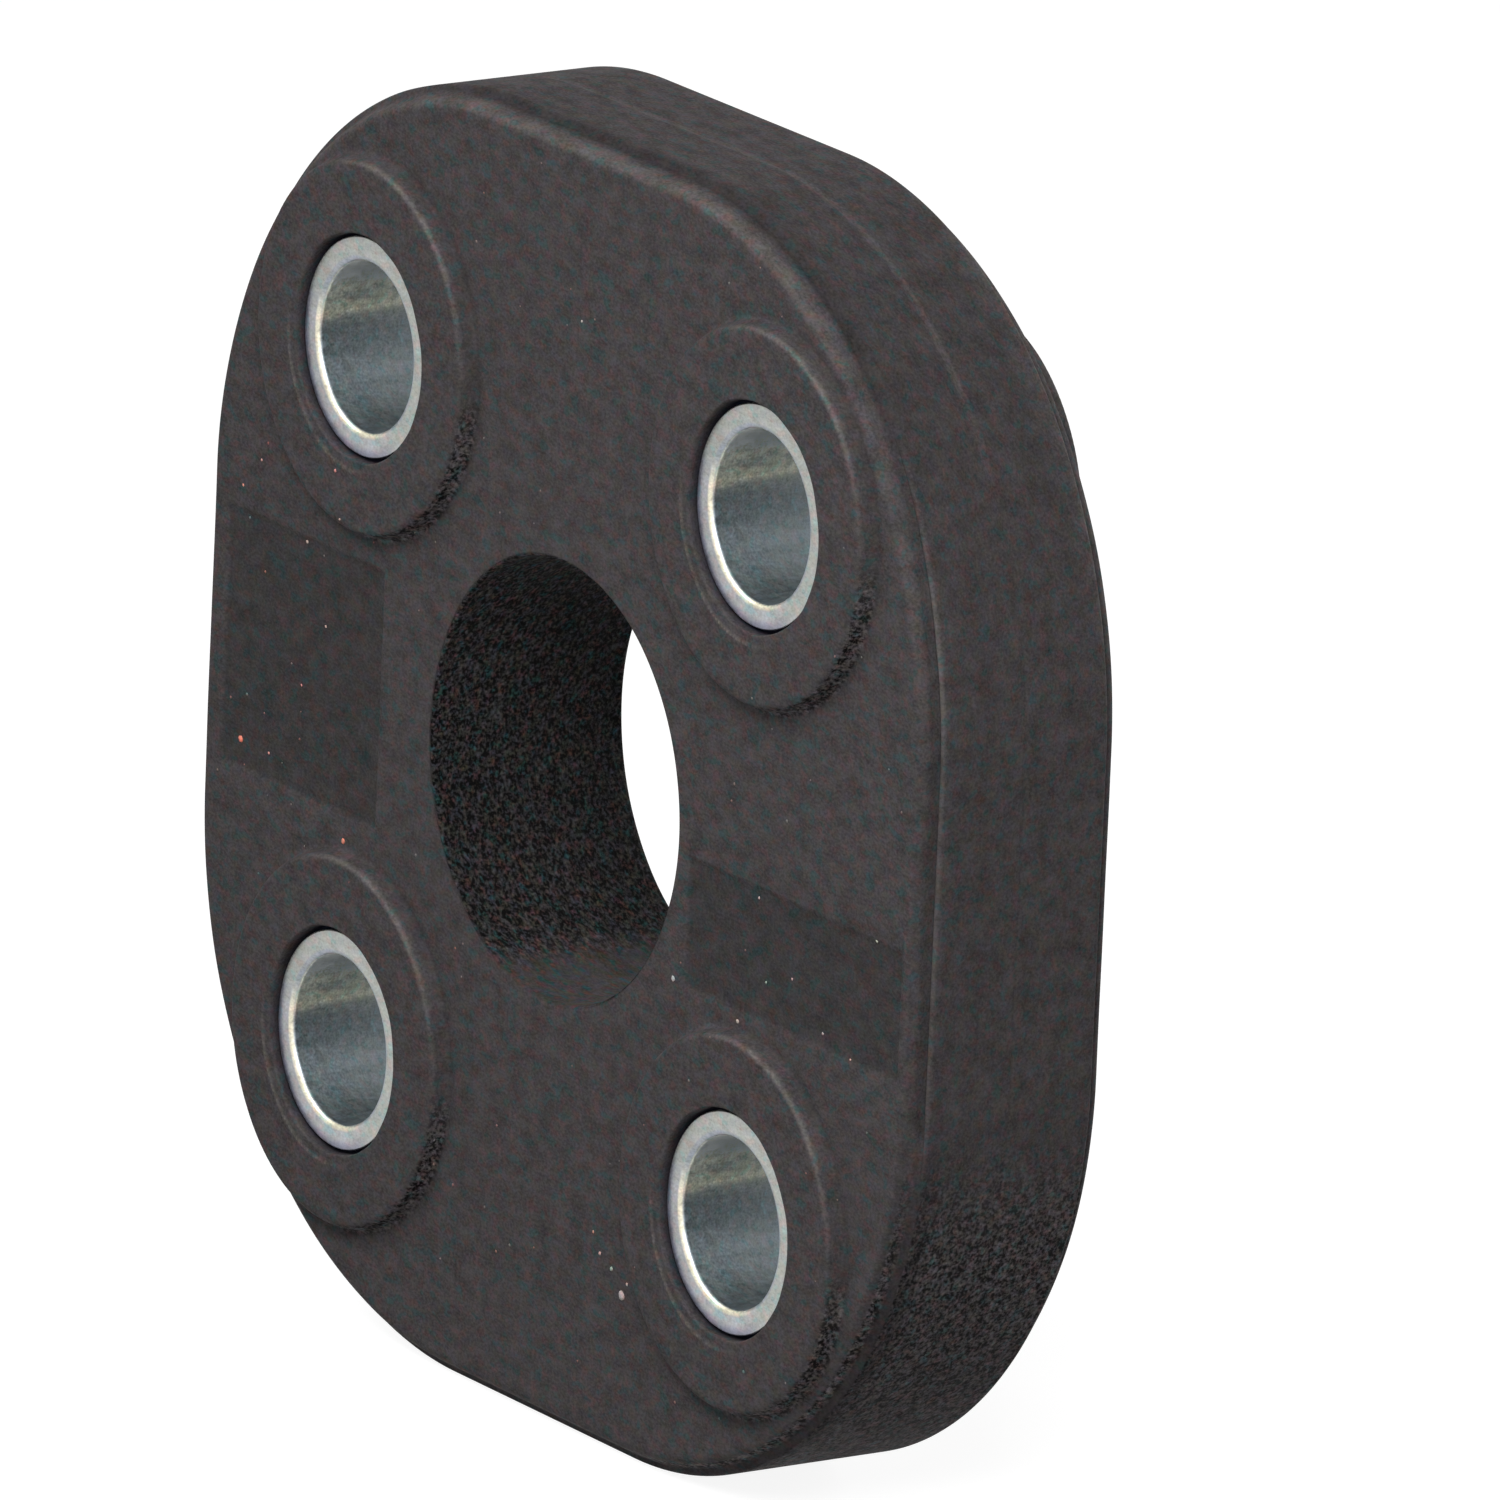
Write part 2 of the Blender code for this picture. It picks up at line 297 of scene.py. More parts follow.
class DiscForm:
    """The moulded disc as a rule: how far its surface stands out at any point of a face."""

    def __init__(self, sizes):
        self.half_width = sizes.width / 2
        self.corner = sizes.corner_radius
        self.half_face = sizes.face_thickness / 2
        self.rim_radius = sizes.rim_radius
        self.groove_inset = sizes.groove_inset
        self.boss_height = sizes.boss_height
        self.boss_foot = sizes.boss_foot / 2
        self.boss_top = sizes.boss_top / 2
        self.boss_edge = sizes.boss_edge
        self.boss_root = sizes.boss_root
        self.hole = sizes.centre_hole / 2
        self.hole_edge = sizes.hole_edge
        self.mouth = sizes.mouth / 2
        self.mouth_edge = sizes.mouth_edge
        self.field_depth = sizes.field_depth
        self.sleeves = [(c.x - DISC_CENTRE.x, c.z - DISC_CENTRE.z) for c in SLEEVE_CENTRES.values()]
        self.face_edge = self.groove_inset + FACE_EDGE * self.rim_radius

    def inset(self, x, z):
        """Distance from a point in to the side wall."""
        middle = self.half_width - self.corner
        across = np.abs(x) - middle
        up = np.abs(z) - middle
        outside = np.hypot(np.maximum(across, 0.0), np.maximum(up, 0.0))
        inside = np.minimum(np.maximum(across, up), 0.0)
        return self.corner - outside - inside

    def mouth_radius(self, turn, number):
        """Radius of a sleeve mouth's slightly uneven edge."""
        radius = self.mouth + np.zeros_like(turn)
        for lobes, phase, depth in MOUTH_WAVES:
            radius = radius + depth * np.sin(lobes * turn + phase + MOUTH_SHIFT * number)
        return radius

    def face_height(self, x, z, is_front):
        """How far the face stands out of its main plane."""
        rim_start = self.groove_inset + self.rim_radius
        height = -round_off(rim_start - self.inset(x, z), self.rim_radius)
        for number, (sleeve_x, sleeve_z) in enumerate(self.sleeves):
            away = np.hypot(x - sleeve_x, z - sleeve_z)
            turn = np.arctan2(z - sleeve_z, x - sleeve_x)
            height = smooth_max(height, self.boss_rise(away), self.boss_root)
            edge_start = self.mouth_radius(turn, number) + self.mouth_edge
            height = height - round_off(edge_start - away, self.mouth_edge)
            if is_front:
                height = height + self.flash_line(away, turn)
        away = np.hypot(x, z)
        height = height - round_off(self.hole + self.hole_edge - away, self.hole_edge)
        if is_front:
            height = height - self.field_depth * self.field_mask(x, z)
        for cycles_x, cycles_z, phase, size in FACE_WAVES:
            height = height + size * np.sin(2 * pi * (cycles_x * x + cycles_z * z) + phase)
        return height

    def boss_rise(self, away):
        """Height of a boss at that distance from its middle: a flat, a rounded edge and a steep side."""
        side_start = self.boss_top + self.boss_edge
        side_height = self.boss_height - self.boss_edge
        steepness = side_height / (self.boss_foot - side_start)
        side = side_height - steepness * (away - side_start)
        top = self.boss_height - round_off(away - self.boss_top, self.boss_edge)
        return np.where(away < side_start, top, side)

    def facing(self, x, z):
        """The direction in degrees that the rim faces, next to a point."""
        middle = self.half_width - self.corner
        across = np.sign(x) * np.maximum(np.abs(x) - middle, 0.0)
        up = np.sign(z) * np.maximum(np.abs(z) - middle, 0.0)
        return np.degrees(np.arctan2(up, across))

    def edge_tone(self, x, z):
        """How much painted highlight, above 0, or painted shade, below 0, a face takes."""
        rim_start = self.groove_inset + self.rim_radius
        on_rim = 1 - smooth_step(self.inset(x, z), rim_start + RIM_FADE[0], rim_start + RIM_FADE[1])
        tone = on_rim * by_angle(self.facing(x, z), RIM_TONES)
        for sleeve_x, sleeve_z in self.sleeves:
            away = np.hypot(x - sleeve_x, z - sleeve_z)
            turn = np.degrees(np.arctan2(z - sleeve_z, x - sleeve_x))
            on_boss = 1 - smooth_step(away, self.boss_foot + BOSS_FADE[0], self.boss_foot + BOSS_FADE[1])
            crest = bump(away, self.boss_top + CREST_PLACE * self.boss_edge, CREST_WIDTH)
            foot = bump(away, self.boss_foot + FOOT_SHIFT, FOOT_WIDTH)
            toned = by_angle(turn, CREST_TONES) * crest + by_angle(turn, FOOT_TONES) * foot
            tone = tone * (1 - on_boss) + toned
            # A beaded painted highlight along the flash line
            beads = 0.75 + 0.25 * np.sin(np.radians(turn) * FLASH_BEADS)
            tone = tone + FLASH_HIGHLIGHT * beads * self.flash_line(away, np.radians(turn)) / FLASH_HEIGHT
        return tone

    def flash_line(self, away, turn):
        """A hair-thin ridge round part of a sleeve's mouth."""
        off = np.abs((turn - FLASH_TURN + pi) % (2 * pi) - pi)
        fade = 1 - smooth_step(off, 0.5 * FLASH_REACH, FLASH_REACH)
        return FLASH_HEIGHT * fade * bump(away, FLASH_RADIUS, FLASH_WIDTH)

    def field_mask(self, x, z):
        """1 inside the bare marking fields, 0 outside, with soft borders."""
        mask = np.zeros_like(x)
        for (low_x, low_z), (high_x, high_z) in FIELDS:
            left = smooth_step(x, low_x, low_x + FIELD_SOFTNESS)
            right = 1 - smooth_step(x, high_x - FIELD_SOFTNESS, high_x)
            bottom = smooth_step(z, low_z, low_z + FIELD_SOFTNESS)
            top = 1 - smooth_step(z, high_z - FIELD_SOFTNESS, high_z)
            mask = mask + left * right * bottom * top
        return mask

    def outline(self, inset):
        """Points round the outline, that far in from the side wall."""
        middle = self.half_width - self.corner
        points = []
        for quarter in range(4):
            side = 1 if quarter in (0, 3) else -1
            up = 1 if quarter in (0, 1) else -1
            for step in range(QUARTER_STEPS + 1):
                turn = pi / 2 * (quarter + step / QUARTER_STEPS)
                radius = self.corner - inset
                points.append((side * middle + radius * cos(turn), up * middle + radius * sin(turn)))
            start = np.array(points[-1])
            turn_next = pi / 2 * (quarter + 1)
            next_side = 1 if (quarter + 1) % 4 in (0, 3) else -1
            next_up = 1 if (quarter + 1) % 4 in (0, 1) else -1
            end = np.array(
                (
                    next_side * middle + (self.corner - inset) * cos(turn_next),
                    next_up * middle + (self.corner - inset) * sin(turn_next),
                )
            )
            for step in range(1, FLAT_STEPS):
                points.append(tuple(start + (end - start) * step / FLAT_STEPS))
        return np.array(points)


def around(centre, radius, turns):
    """Points of the disc's plane round a middle, at a radius and the given directions."""
    return np.column_stack((centre[0] + radius * np.cos(turns), centre[1] + radius * np.sin(turns)))


def ring(centre, radius, steps, shift=0.0):
    """Points round a circle."""
    return around(centre, radius, 2 * pi * (np.arange(steps) + shift) / steps)


def at_y(plane, y):
    """Points of the disc's plane moved out of it, each to its Y."""
    return np.column_stack((plane[:, 0], y, plane[:, 1]))


# Smallest ring of a boss's flat outside the flash line
FLAT_START = 0.0079


def boss_radii(form):
    """Radii of the rings that carry a boss's form, from its mouth out past its foot."""
    flash = FLASH_RADIUS + FLASH_WIDTH * np.array((-2.0, -1.0, 0.0, 1.0, 2.0))
    flat = np.linspace(FLAT_START, form.boss_top - 0.0003, 4)
    edge = form.boss_top + form.boss_edge * np.sin(np.radians((-10, 0, 12, 24, 36, 48, 60, 74)))
    side = np.linspace(form.boss_top + form.boss_edge, form.boss_foot, 5)
    root = form.boss_foot + np.array((0.00006, 0.00014, 0.00024, 0.00038, 0.0007))
    return np.concatenate((flash, flat, edge, side, root))


def mouth_loops(form):
    """Rows of points round each sleeve's mouth, the innermost being the face's border there."""
    loops = []
    turns = 2 * pi * np.arange(RING_STEPS) / RING_STEPS
    for number, centre in enumerate(form.sleeves):
        radius = form.mouth_radius(turns, number)
        shares = (0.02, 0.12, 0.35, 0.65, 1.0, 1.8)
        loops.append([around(centre, radius + share * form.mouth_edge, turns) for share in shares])
    return loops


def hole_loops(form):
    """Rows of points round the middle hole, the innermost being the face's border there."""
    shares = (0.02, 0.08, 0.2, 0.38, 0.6, 0.82, 1.0, 1.4, 2.4)
    return [ring((0.0, 0.0), form.hole + share * form.hole_edge, HOLE_STEPS) for share in shares]


def field_points(form):
    """Rows of points along the marking fields' soft borders."""
    rows = []
    for (low_x, low_z), (high_x, high_z) in FIELDS:
        for share in (-0.15, 0.15, 0.5, 0.85, 1.15):
            inside = share * FIELD_SOFTNESS
            corners = (
                (low_x + inside, low_z + inside),
                (high_x - inside, low_z + inside),
                (high_x - inside, high_z - inside),
                (low_x + inside, high_z - inside),
            )
            for start, end in zip(corners, corners[1:] + corners[:1]):
                start = np.array(start)
                end = np.array(end)
                steps = max(2, int(np.hypot(*(end - start)) / FIELD_STEP))
                rows.append(start + (end - start) * np.arange(steps)[:, None] / steps)
    return np.concatenate(rows)


def spaced(points, taken, gap):
    """Keep the points that lie at least the gap from each other and from those already taken."""
    kept = []
    for point in points:
        cell = (int(point[0] // gap), int(point[1] // gap))
        near = (taken.get((cell[0] + i, cell[1] + j)) for i in (-1, 0, 1) for j in (-1, 0, 1))
        if any(other is not None and np.hypot(*(point - other)) < gap for other in near):
            continue
        taken[cell] = point
        kept.append(point)
    return kept


def inside_face(form, points):
    """The points that lie on the face, clear of its outer border, its mouths and its hole."""
    keep = form.inset(points[:, 0], points[:, 1]) > form.face_edge + FEATURE_GAP
    keep &= np.hypot(points[:, 0], points[:, 1]) > form.hole + FEATURE_GAP
    for number, (x, z) in enumerate(form.sleeves):
        turn = np.arctan2(points[:, 1] - z, points[:, 0] - x)
        away = np.hypot(points[:, 0] - x, points[:, 1] - z)
        keep &= away > form.mouth_radius(turn, number) + FEATURE_GAP
    return points[keep]


# Share of a mouth's radius inside which a triangle is cut away, and the scale and the tolerance at
# which the face is cut into triangles
MOUTH_SLACK = 0.9995
CUT_SCALE = 1000.0
CUT_TOLERANCE = 1e-6


def face_triangles(form, is_front):
    """A face's points, in the plane, and its triangles, with the mouths and the hole left open."""
    mouths = mouth_loops(form)
    hole = hole_loops(form)
    borders = [form.outline(form.face_edge), hole[0]] + [rows[0] for rows in mouths]
    features = [row for rows in mouths for row in rows[1:]] + hole[1:]
    rim_insets = form.groove_inset + form.rim_radius * np.array((0.2, 0.4, 0.6, 0.8, 1.0, 1.2, 1.7))
    features += [form.outline(inset) for inset in rim_insets]
    for centre in form.sleeves:
        for number, radius in enumerate(boss_radii(form)):
            features.append(ring(centre, radius, RING_STEPS, 0.5 * (number % 2)))
    if is_front:
        features.append(field_points(form))
    taken = {}
    points = []
    for border in borders:
        points.extend(border)
        spaced(border, taken, FEATURE_GAP)
    points.extend(spaced(inside_face(form, np.concatenate(features)), taken, FEATURE_GAP))
    coarse = {}
    spaced(points, coarse, FILL_GAP)
    cells = np.arange(-form.half_width, form.half_width, FILL_SPACING)
    lattice = np.array([(x + (j % 2) * FILL_SPACING / 2, z) for j, z in enumerate(cells) for x in cells])
    points.extend(spaced(inside_face(form, lattice), coarse, FILL_GAP))
    edges = []
    first = 0
    for border in borders:
        count = len(border)
        edges += [(first + i, first + (i + 1) % count) for i in range(count)]
        first += count
    scaled_up = [Vector(point) * CUT_SCALE for point in points]
    result = delaunay_2d_cdt(scaled_up, edges, [], 0, CUT_TOLERANCE, False)
    plane = np.array([tuple(point) for point in result[0]]) / CUT_SCALE
    triangles = np.array([face for face in result[2] if len(face) == 3])
    middle = plane[triangles].mean(axis=1)
    keep = np.hypot(middle[:, 0], middle[:, 1]) > form.hole
    for number, (x, z) in enumerate(form.sleeves):
        turn = np.arctan2(middle[:, 1] - z, middle[:, 0] - x)
        away = np.hypot(middle[:, 0] - x, middle[:, 1] - z)
        keep &= away > form.mouth_radius(turn, number) * MOUTH_SLACK
    return plane, triangles[keep]


# Rim below the rounded edge, as inset from the side wall and depth below the face. On the front the
# groove is open and the lip stands proud at the right, the lip has worn back along the top, and the
# groove is filled along the left and the bottom. The back's groove is open all round.
RIM_WITH_LIP = (
    (0.00072, 0.00112), (0.00070, 0.00133), (0.00064, 0.00145), (0.00055, 0.00150),
    (0.00046, 0.00147), (0.00040, 0.00138), (0.00038, 0.00125), (0.00036, 0.00113),
    (0.00031, 0.00107), (0.00025, 0.00105), (0.00018, 0.00106), (0.00010, 0.00110),
    (0.00004, 0.00118), (0.00000, 0.00130), (0.00000, 0.00165),
)
RIM_WORN = (
    (0.00048, 0.00118), (0.00044, 0.00127), (0.00042, 0.00135), (0.00041, 0.00142),
    (0.00040, 0.00148), (0.00038, 0.00153), (0.00035, 0.00157), (0.00031, 0.00161),
    (0.00027, 0.00165), (0.00022, 0.00169), (0.00017, 0.00173), (0.00012, 0.00177),
    (0.00007, 0.00182), (0.00003, 0.00188), (0.00000, 0.00199),
)
RIM_FILLED = (
    (0.00042, 0.00097), (0.00037, 0.00100), (0.00032, 0.00102), (0.00028, 0.00104),
    (0.00025, 0.00105), (0.00022, 0.00106), (0.00019, 0.00107), (0.00016, 0.00108),
    (0.00013, 0.00110), (0.00010, 0.00112), (0.00007, 0.00115), (0.00004, 0.00119),
    (0.00002, 0.00124), (0.00000, 0.00130), (0.00000, 0.00165),
)
ROUNDING_WORN = ((0.00070, 0.00062), (0.00064, 0.00078), (0.00058, 0.00093), (0.00053, 0.00107))
ROUNDING_FILLED = ((0.00070, 0.00058), (0.00062, 0.00070), (0.00055, 0.00081), (0.00048, 0.00091))

# Painted light on those rows: the painted highlight where the lip shows pale, the painted shade where it
# is darker and where it has worn back, the last with a share of the rounding's own painted tone
LIP_HIGHLIGHT = (0.1, 0.2, 0.25, 0.25, 0.25, 0.3, 0.4, 0.6, 0.8, 0.9, 0.9, 0.8, 0.5, 0.2, 0.0)
LIP_SHADE = (-0.1, -0.25, -0.3, -0.3, -0.25, -0.15, -0.1, -0.1, -0.1, -0.1, -0.1, -0.05, 0.0, 0.0, 0.0)
WORN_GROOVE_SHADE = (-0.6, -0.85, -1.0, -1.0, -1.0, -1.0, -1.0, -1.0, -1.0, -1.0, -1.0, -0.95, -0.85, -0.75, -0.6)
WORN_ROUNDING = (1.0, 0.85, 0.5, 0.1, -0.4)

# By the direction in degrees: where the lip takes its painted highlight on the front and on the back,
# where it has worn back, where the groove is filled, and how much painted shade the filled rim takes
LIP_HIGHLIGHT_SHARE = ((-180, 0.0), (-15, 0.0), (3, 0.6), (10, 1.0), (20, 1.0), (34, 0.3), (45, 0.0), (180, 0.0))
LIP_HIGHLIGHT_BEHIND = ((-180, 0.0), (0, 0.0), (15, 0.7), (25, 1.0), (60, 1.0), (75, 0.3), (90, 0.0), (180, 0.0))
WORN_SHARE = ((-180, 0.0), (15, 0.0), (28, 0.3), (42, 0.85), (55, 1.0), (96, 1.0), (112, 0.0), (180, 0.0))
FILLED_SHARE = ((-180, 1.0), (-9, 1.0), (-1, 0.0), (96, 0.0), (112, 1.0), (180, 1.0))
LOW_RIM_SHADE = ((-180, 0.0), (-105, 0.0), (-85, 0.7), (-60, 1.1), (-30, 1.0), (-10, 0.6), (0, 0.0), (180, 0.0))

# Share of that painted shade on the rounding, and how much stronger the painted highlight is on the back
LOW_ROUNDING_SHARE = 0.7
BEHIND_GAIN = 1.6

# Depths of the plain wall's rows below the face, and the parting seam in the middle of the wall
WALL_DEPTHS = (0.0028, 0.0036, 0.0045, 0.0054, 0.0061, 0.0064)
SEAM_HALF_WIDTH = 0.00016
SEAM_DEPTH = 0.00003
SEAM_ROWS = 5


def rim_rows(form, worn, filled):
    """Inset and depth of each row from the edge of a face down its half of the wall."""
    turns = np.radians((72.0, 78.0, 84.0, 90.0))
    insets = form.groove_inset + form.rim_radius * (1 - np.sin(turns))
    depths = form.rim_radius * (1 - np.cos(turns))
    whole = np.concatenate((np.column_stack((insets, depths)), RIM_WITH_LIP))
    to_worn = np.concatenate((ROUNDING_WORN, RIM_WORN)) - whole
    to_filled = np.concatenate((ROUNDING_FILLED, RIM_FILLED)) - whole
    rows = []
    for place, change, fill in zip(whole, to_worn, to_filled):
        rows.append(tuple(place[i] + change[i] * worn + fill[i] * filled for i in (0, 1)))
    for depth in WALL_DEPTHS:
        rows.append((np.zeros(len(worn)), np.full(len(worn), depth)))
    return rows


def wall_rows(form):
    """Rows of 3-D points down the outside, from the front face's border to the back's."""
    border = form.outline(form.face_edge)
    turns = form.facing(border[:, 0], border[:, 1])
    worn = by_angle(turns, WORN_SHARE)
    filled = by_angle(turns, FILLED_SHARE)
    front_edge = form.face_height(border[:, 0], border[:, 1], True)
    back_edge = form.face_height(border[:, 0], border[:, 1], False)
    rows = [at_y(border, -form.half_face - front_edge)]
    for inset, depth in rim_rows(form, worn, filled):
        rows.append(wall_row(form, inset, depth - form.half_face))
    for share in np.linspace(-1.0, 1.0, SEAM_ROWS):
        inset = np.full(len(worn), SEAM_DEPTH * (1 - abs(share)))
        rows.append(wall_row(form, inset, np.full(len(worn), share * SEAM_HALF_WIDTH)))
    for inset, depth in reversed(rim_rows(form, 0.0 * worn, 0.0 * worn)):
        rows.append(wall_row(form, inset, form.half_face - depth))
    rows.append(at_y(border, form.half_face + back_edge))
    return rows


def wall_tones(form, row_count):
    """Painted highlight, above 0, or painted shade, below 0, at each point of the wall's rows."""
    outline = form.outline(0.0)
    turns = form.facing(outline[:, 0], outline[:, 1])
    worn = by_angle(turns, WORN_SHARE)
    rounding = by_angle(turns, RIM_TONES)
    lip_lit = by_angle(turns, LIP_HIGHLIGHT_SHARE)
    lip_lit_behind = by_angle(turns, LIP_HIGHLIGHT_BEHIND)
    filled = by_angle(turns, FILLED_SHARE)
    low = -by_angle(turns, LOW_RIM_SHADE)
    wall = by_angle(turns, WALL_TONES)
    front = []
    back = []
    for kept in WORN_ROUNDING:
        front.append(rounding * kept + low * (1.0 - kept) * LOW_ROUNDING_SHARE)
        back.append(rounding * kept)
    for pale, lip_shade_tone, gone in zip(LIP_HIGHLIGHT, LIP_SHADE, WORN_GROOVE_SHADE):
        lip = lip_shade_tone + (pale - lip_shade_tone) * lip_lit
        front.append(lip + (gone - lip) * worn + (low - lip) * filled)
        back.append(lip_shade_tone + (BEHIND_GAIN * pale - lip_shade_tone) * lip_lit_behind)
    seam = wall + by_angle(turns, SEAM_TONES)
    plain = [wall] * ((row_count - len(front) - len(back) - SEAM_ROWS) // 2)
    return np.concatenate(front + plain + [seam] * SEAM_ROWS + plain + back[::-1])


def wall_row(form, inset, y):
    """One row round the outline, with its own inset and Y at each point."""
    outer = form.outline(0.0)
    inner = form.outline(form.groove_inset)
    share = (inset / form.groove_inset)[:, None]
    return at_y(outer + (inner - outer) * share, y)


# Recess between each mouth and its sleeve: rows as a share of the way in to the steel and a depth, how
# much painted shadow the rows take, and the radius at which the rubber meets the steel
RECESS = ((0.0, 0.0003), (0.02, 0.0006), (0.06, 0.0009), (0.2, 0.00105), (0.6, 0.0011), (1.0, 0.0011))
MOUTH_SHADE = (0.0, 0.2, 0.55, 0.9, 1.0, 1.0, 1.0)
RUBBER_ON_STEEL = 0.00655

# Rows down the middle hole's wall, and its waves: lobes round it, turn along it and depth of each
HOLE_ROWS = 15
HOLE_WAVES = ((3, 900.0, 0.00002), (7, 1700.0, 0.000015), (13, 2600.0, 0.00001))


def mouth_rows(form, number, border):
    """Rows of points down through a sleeve's hole, from the front mouth to the back."""
    centre = form.sleeves[number]
    turns = np.arctan2(border[:, 1] - centre[1], border[:, 0] - centre[0])
    radius = np.hypot(border[:, 0] - centre[0], border[:, 1] - centre[1])
    front = form.face_height(border[:, 0], border[:, 1], True)
    back = form.face_height(border[:, 0], border[:, 1], False)
    top = form.half_face + form.boss_height
    rows = [at_y(border, -form.half_face - front)]
    levels = [(share, depth - top) for share, depth in RECESS]
    levels += [(share, top - depth) for share, depth in reversed(RECESS)]
    for share, y in levels:
        far = radius + (RUBBER_ON_STEEL - radius) * share
        rows.append(at_y(around(centre, far, turns), np.full(len(far), y)))
    rows.append(at_y(border, form.half_face + back))
    return rows


def hole_rows(form, border):
    """Rows of points down the middle hole's faintly uneven wall."""
    turns = np.arctan2(border[:, 1], border[:, 0])
    front = form.face_height(border[:, 0], border[:, 1], True)
    back = form.face_height(border[:, 0], border[:, 1], False)
    rows = [at_y(border, -form.half_face - front)]
    reach = form.half_face - form.hole_edge
    for y in np.linspace(-reach, reach, HOLE_ROWS):
        radius = form.hole + np.zeros_like(turns)
        for lobes, cycles, size in HOLE_WAVES:
            radius = radius + size * np.sin(lobes * turns + cycles * y)
        rows.append(at_y(around((0.0, 0.0), radius, turns), np.full(len(turns), y)))
    rows.append(at_y(border, form.half_face + back))
    return rows


class MeshParts:
    """Collects points and faces that are then made one mesh."""

    def __init__(self):
        self.points = []
        self.faces = []
        self.marks = {"bare_field": [], "edge_tone": [], "mouth_wall": []}
        self.count = 0

    def add(self, points, faces, **marks):
        """Add a patch of points with its faces and the values kept on its points."""
        self.points.append(points)
        for label, values in self.marks.items():
            values.append(marks.get(label, np.zeros(len(points))))
        self.faces.extend(tuple(self.count + index for index in face) for face in faces)
        self.count += len(points)

    def add_rows(self, rows, is_flipped, **marks):
        """Add a band of quads through closed rows of points, with the values kept on them."""
        size = len(rows[0])
        faces = []
        for row in range(len(rows) - 1):
            for index in range(size):
                after = (index + 1) % size
                near = row * size
                far = near + size
                quad = (near + index, near + after, far + after, far + index)
                faces.append(quad[::-1] if is_flipped else quad)
        self.add(np.concatenate(rows), faces, **marks)

    def mesh(self, name):
        """The finished mesh, in the row's frame."""
        mesh = bpy.data.meshes.new(name)
        points = np.concatenate(self.points) + np.array((DISC_CENTRE.x, DISC_CENTRE.y, DISC_CENTRE.z))
        mesh.from_pydata(points.tolist(), [], self.faces)
        for label, values in self.marks.items():
            attribute = mesh.attributes.new(label, "FLOAT", "POINT")
            attribute.data.foreach_set("value", np.concatenate(values))
        shape = bmesh.new()
        shape.from_mesh(mesh)
        bmesh.ops.remove_doubles(shape, verts=shape.verts, dist=MERGE)
        bmesh.ops.recalc_face_normals(shape, faces=shape.faces)
        shape.to_mesh(mesh)
        shape.free()
        mesh.shade_smooth()
        return mesh


def disc_mesh(form):
    """The whole moulded disc as one closed mesh."""
    parts = MeshParts()
    for is_front, side in ((True, -1.0), (False, 1.0)):
        plane, triangles = face_triangles(form, is_front)
        height = form.face_height(plane[:, 0], plane[:, 1], is_front)
        points = at_y(plane, side * (form.half_face + height))
        field = form.field_mask(plane[:, 0], plane[:, 1]) * is_front
        tone = form.edge_tone(plane[:, 0], plane[:, 1])
        parts.add(points, triangles.tolist(), bare_field=field, edge_tone=tone)
    wall = wall_rows(form)
    parts.add_rows(wall, False, edge_tone=wall_tones(form, len(wall)))
    for number, loops in enumerate(mouth_loops(form)):
        rows = mouth_rows(form, number, loops[0])
        darkness = MOUTH_SHADE + MOUTH_SHADE[::-1]
        parts.add_rows(rows, True, mouth_wall=np.repeat(darkness, len(rows[0])))
    parts.add_rows(hole_rows(form, hole_loops(form)[0]), True)
    return parts.mesh("rubber_disc")


def add_piece(name, mesh, slot, *nodes):
    """Put a finished mesh in the scene as a piece that rides on the body and stands for CAD nodes."""
    piece = bpy.data.objects.new(name, mesh)
    bpy.context.scene.collection.objects.link(piece)
    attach(piece, BODY)
    if nodes:
        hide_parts(*nodes)
    return piece


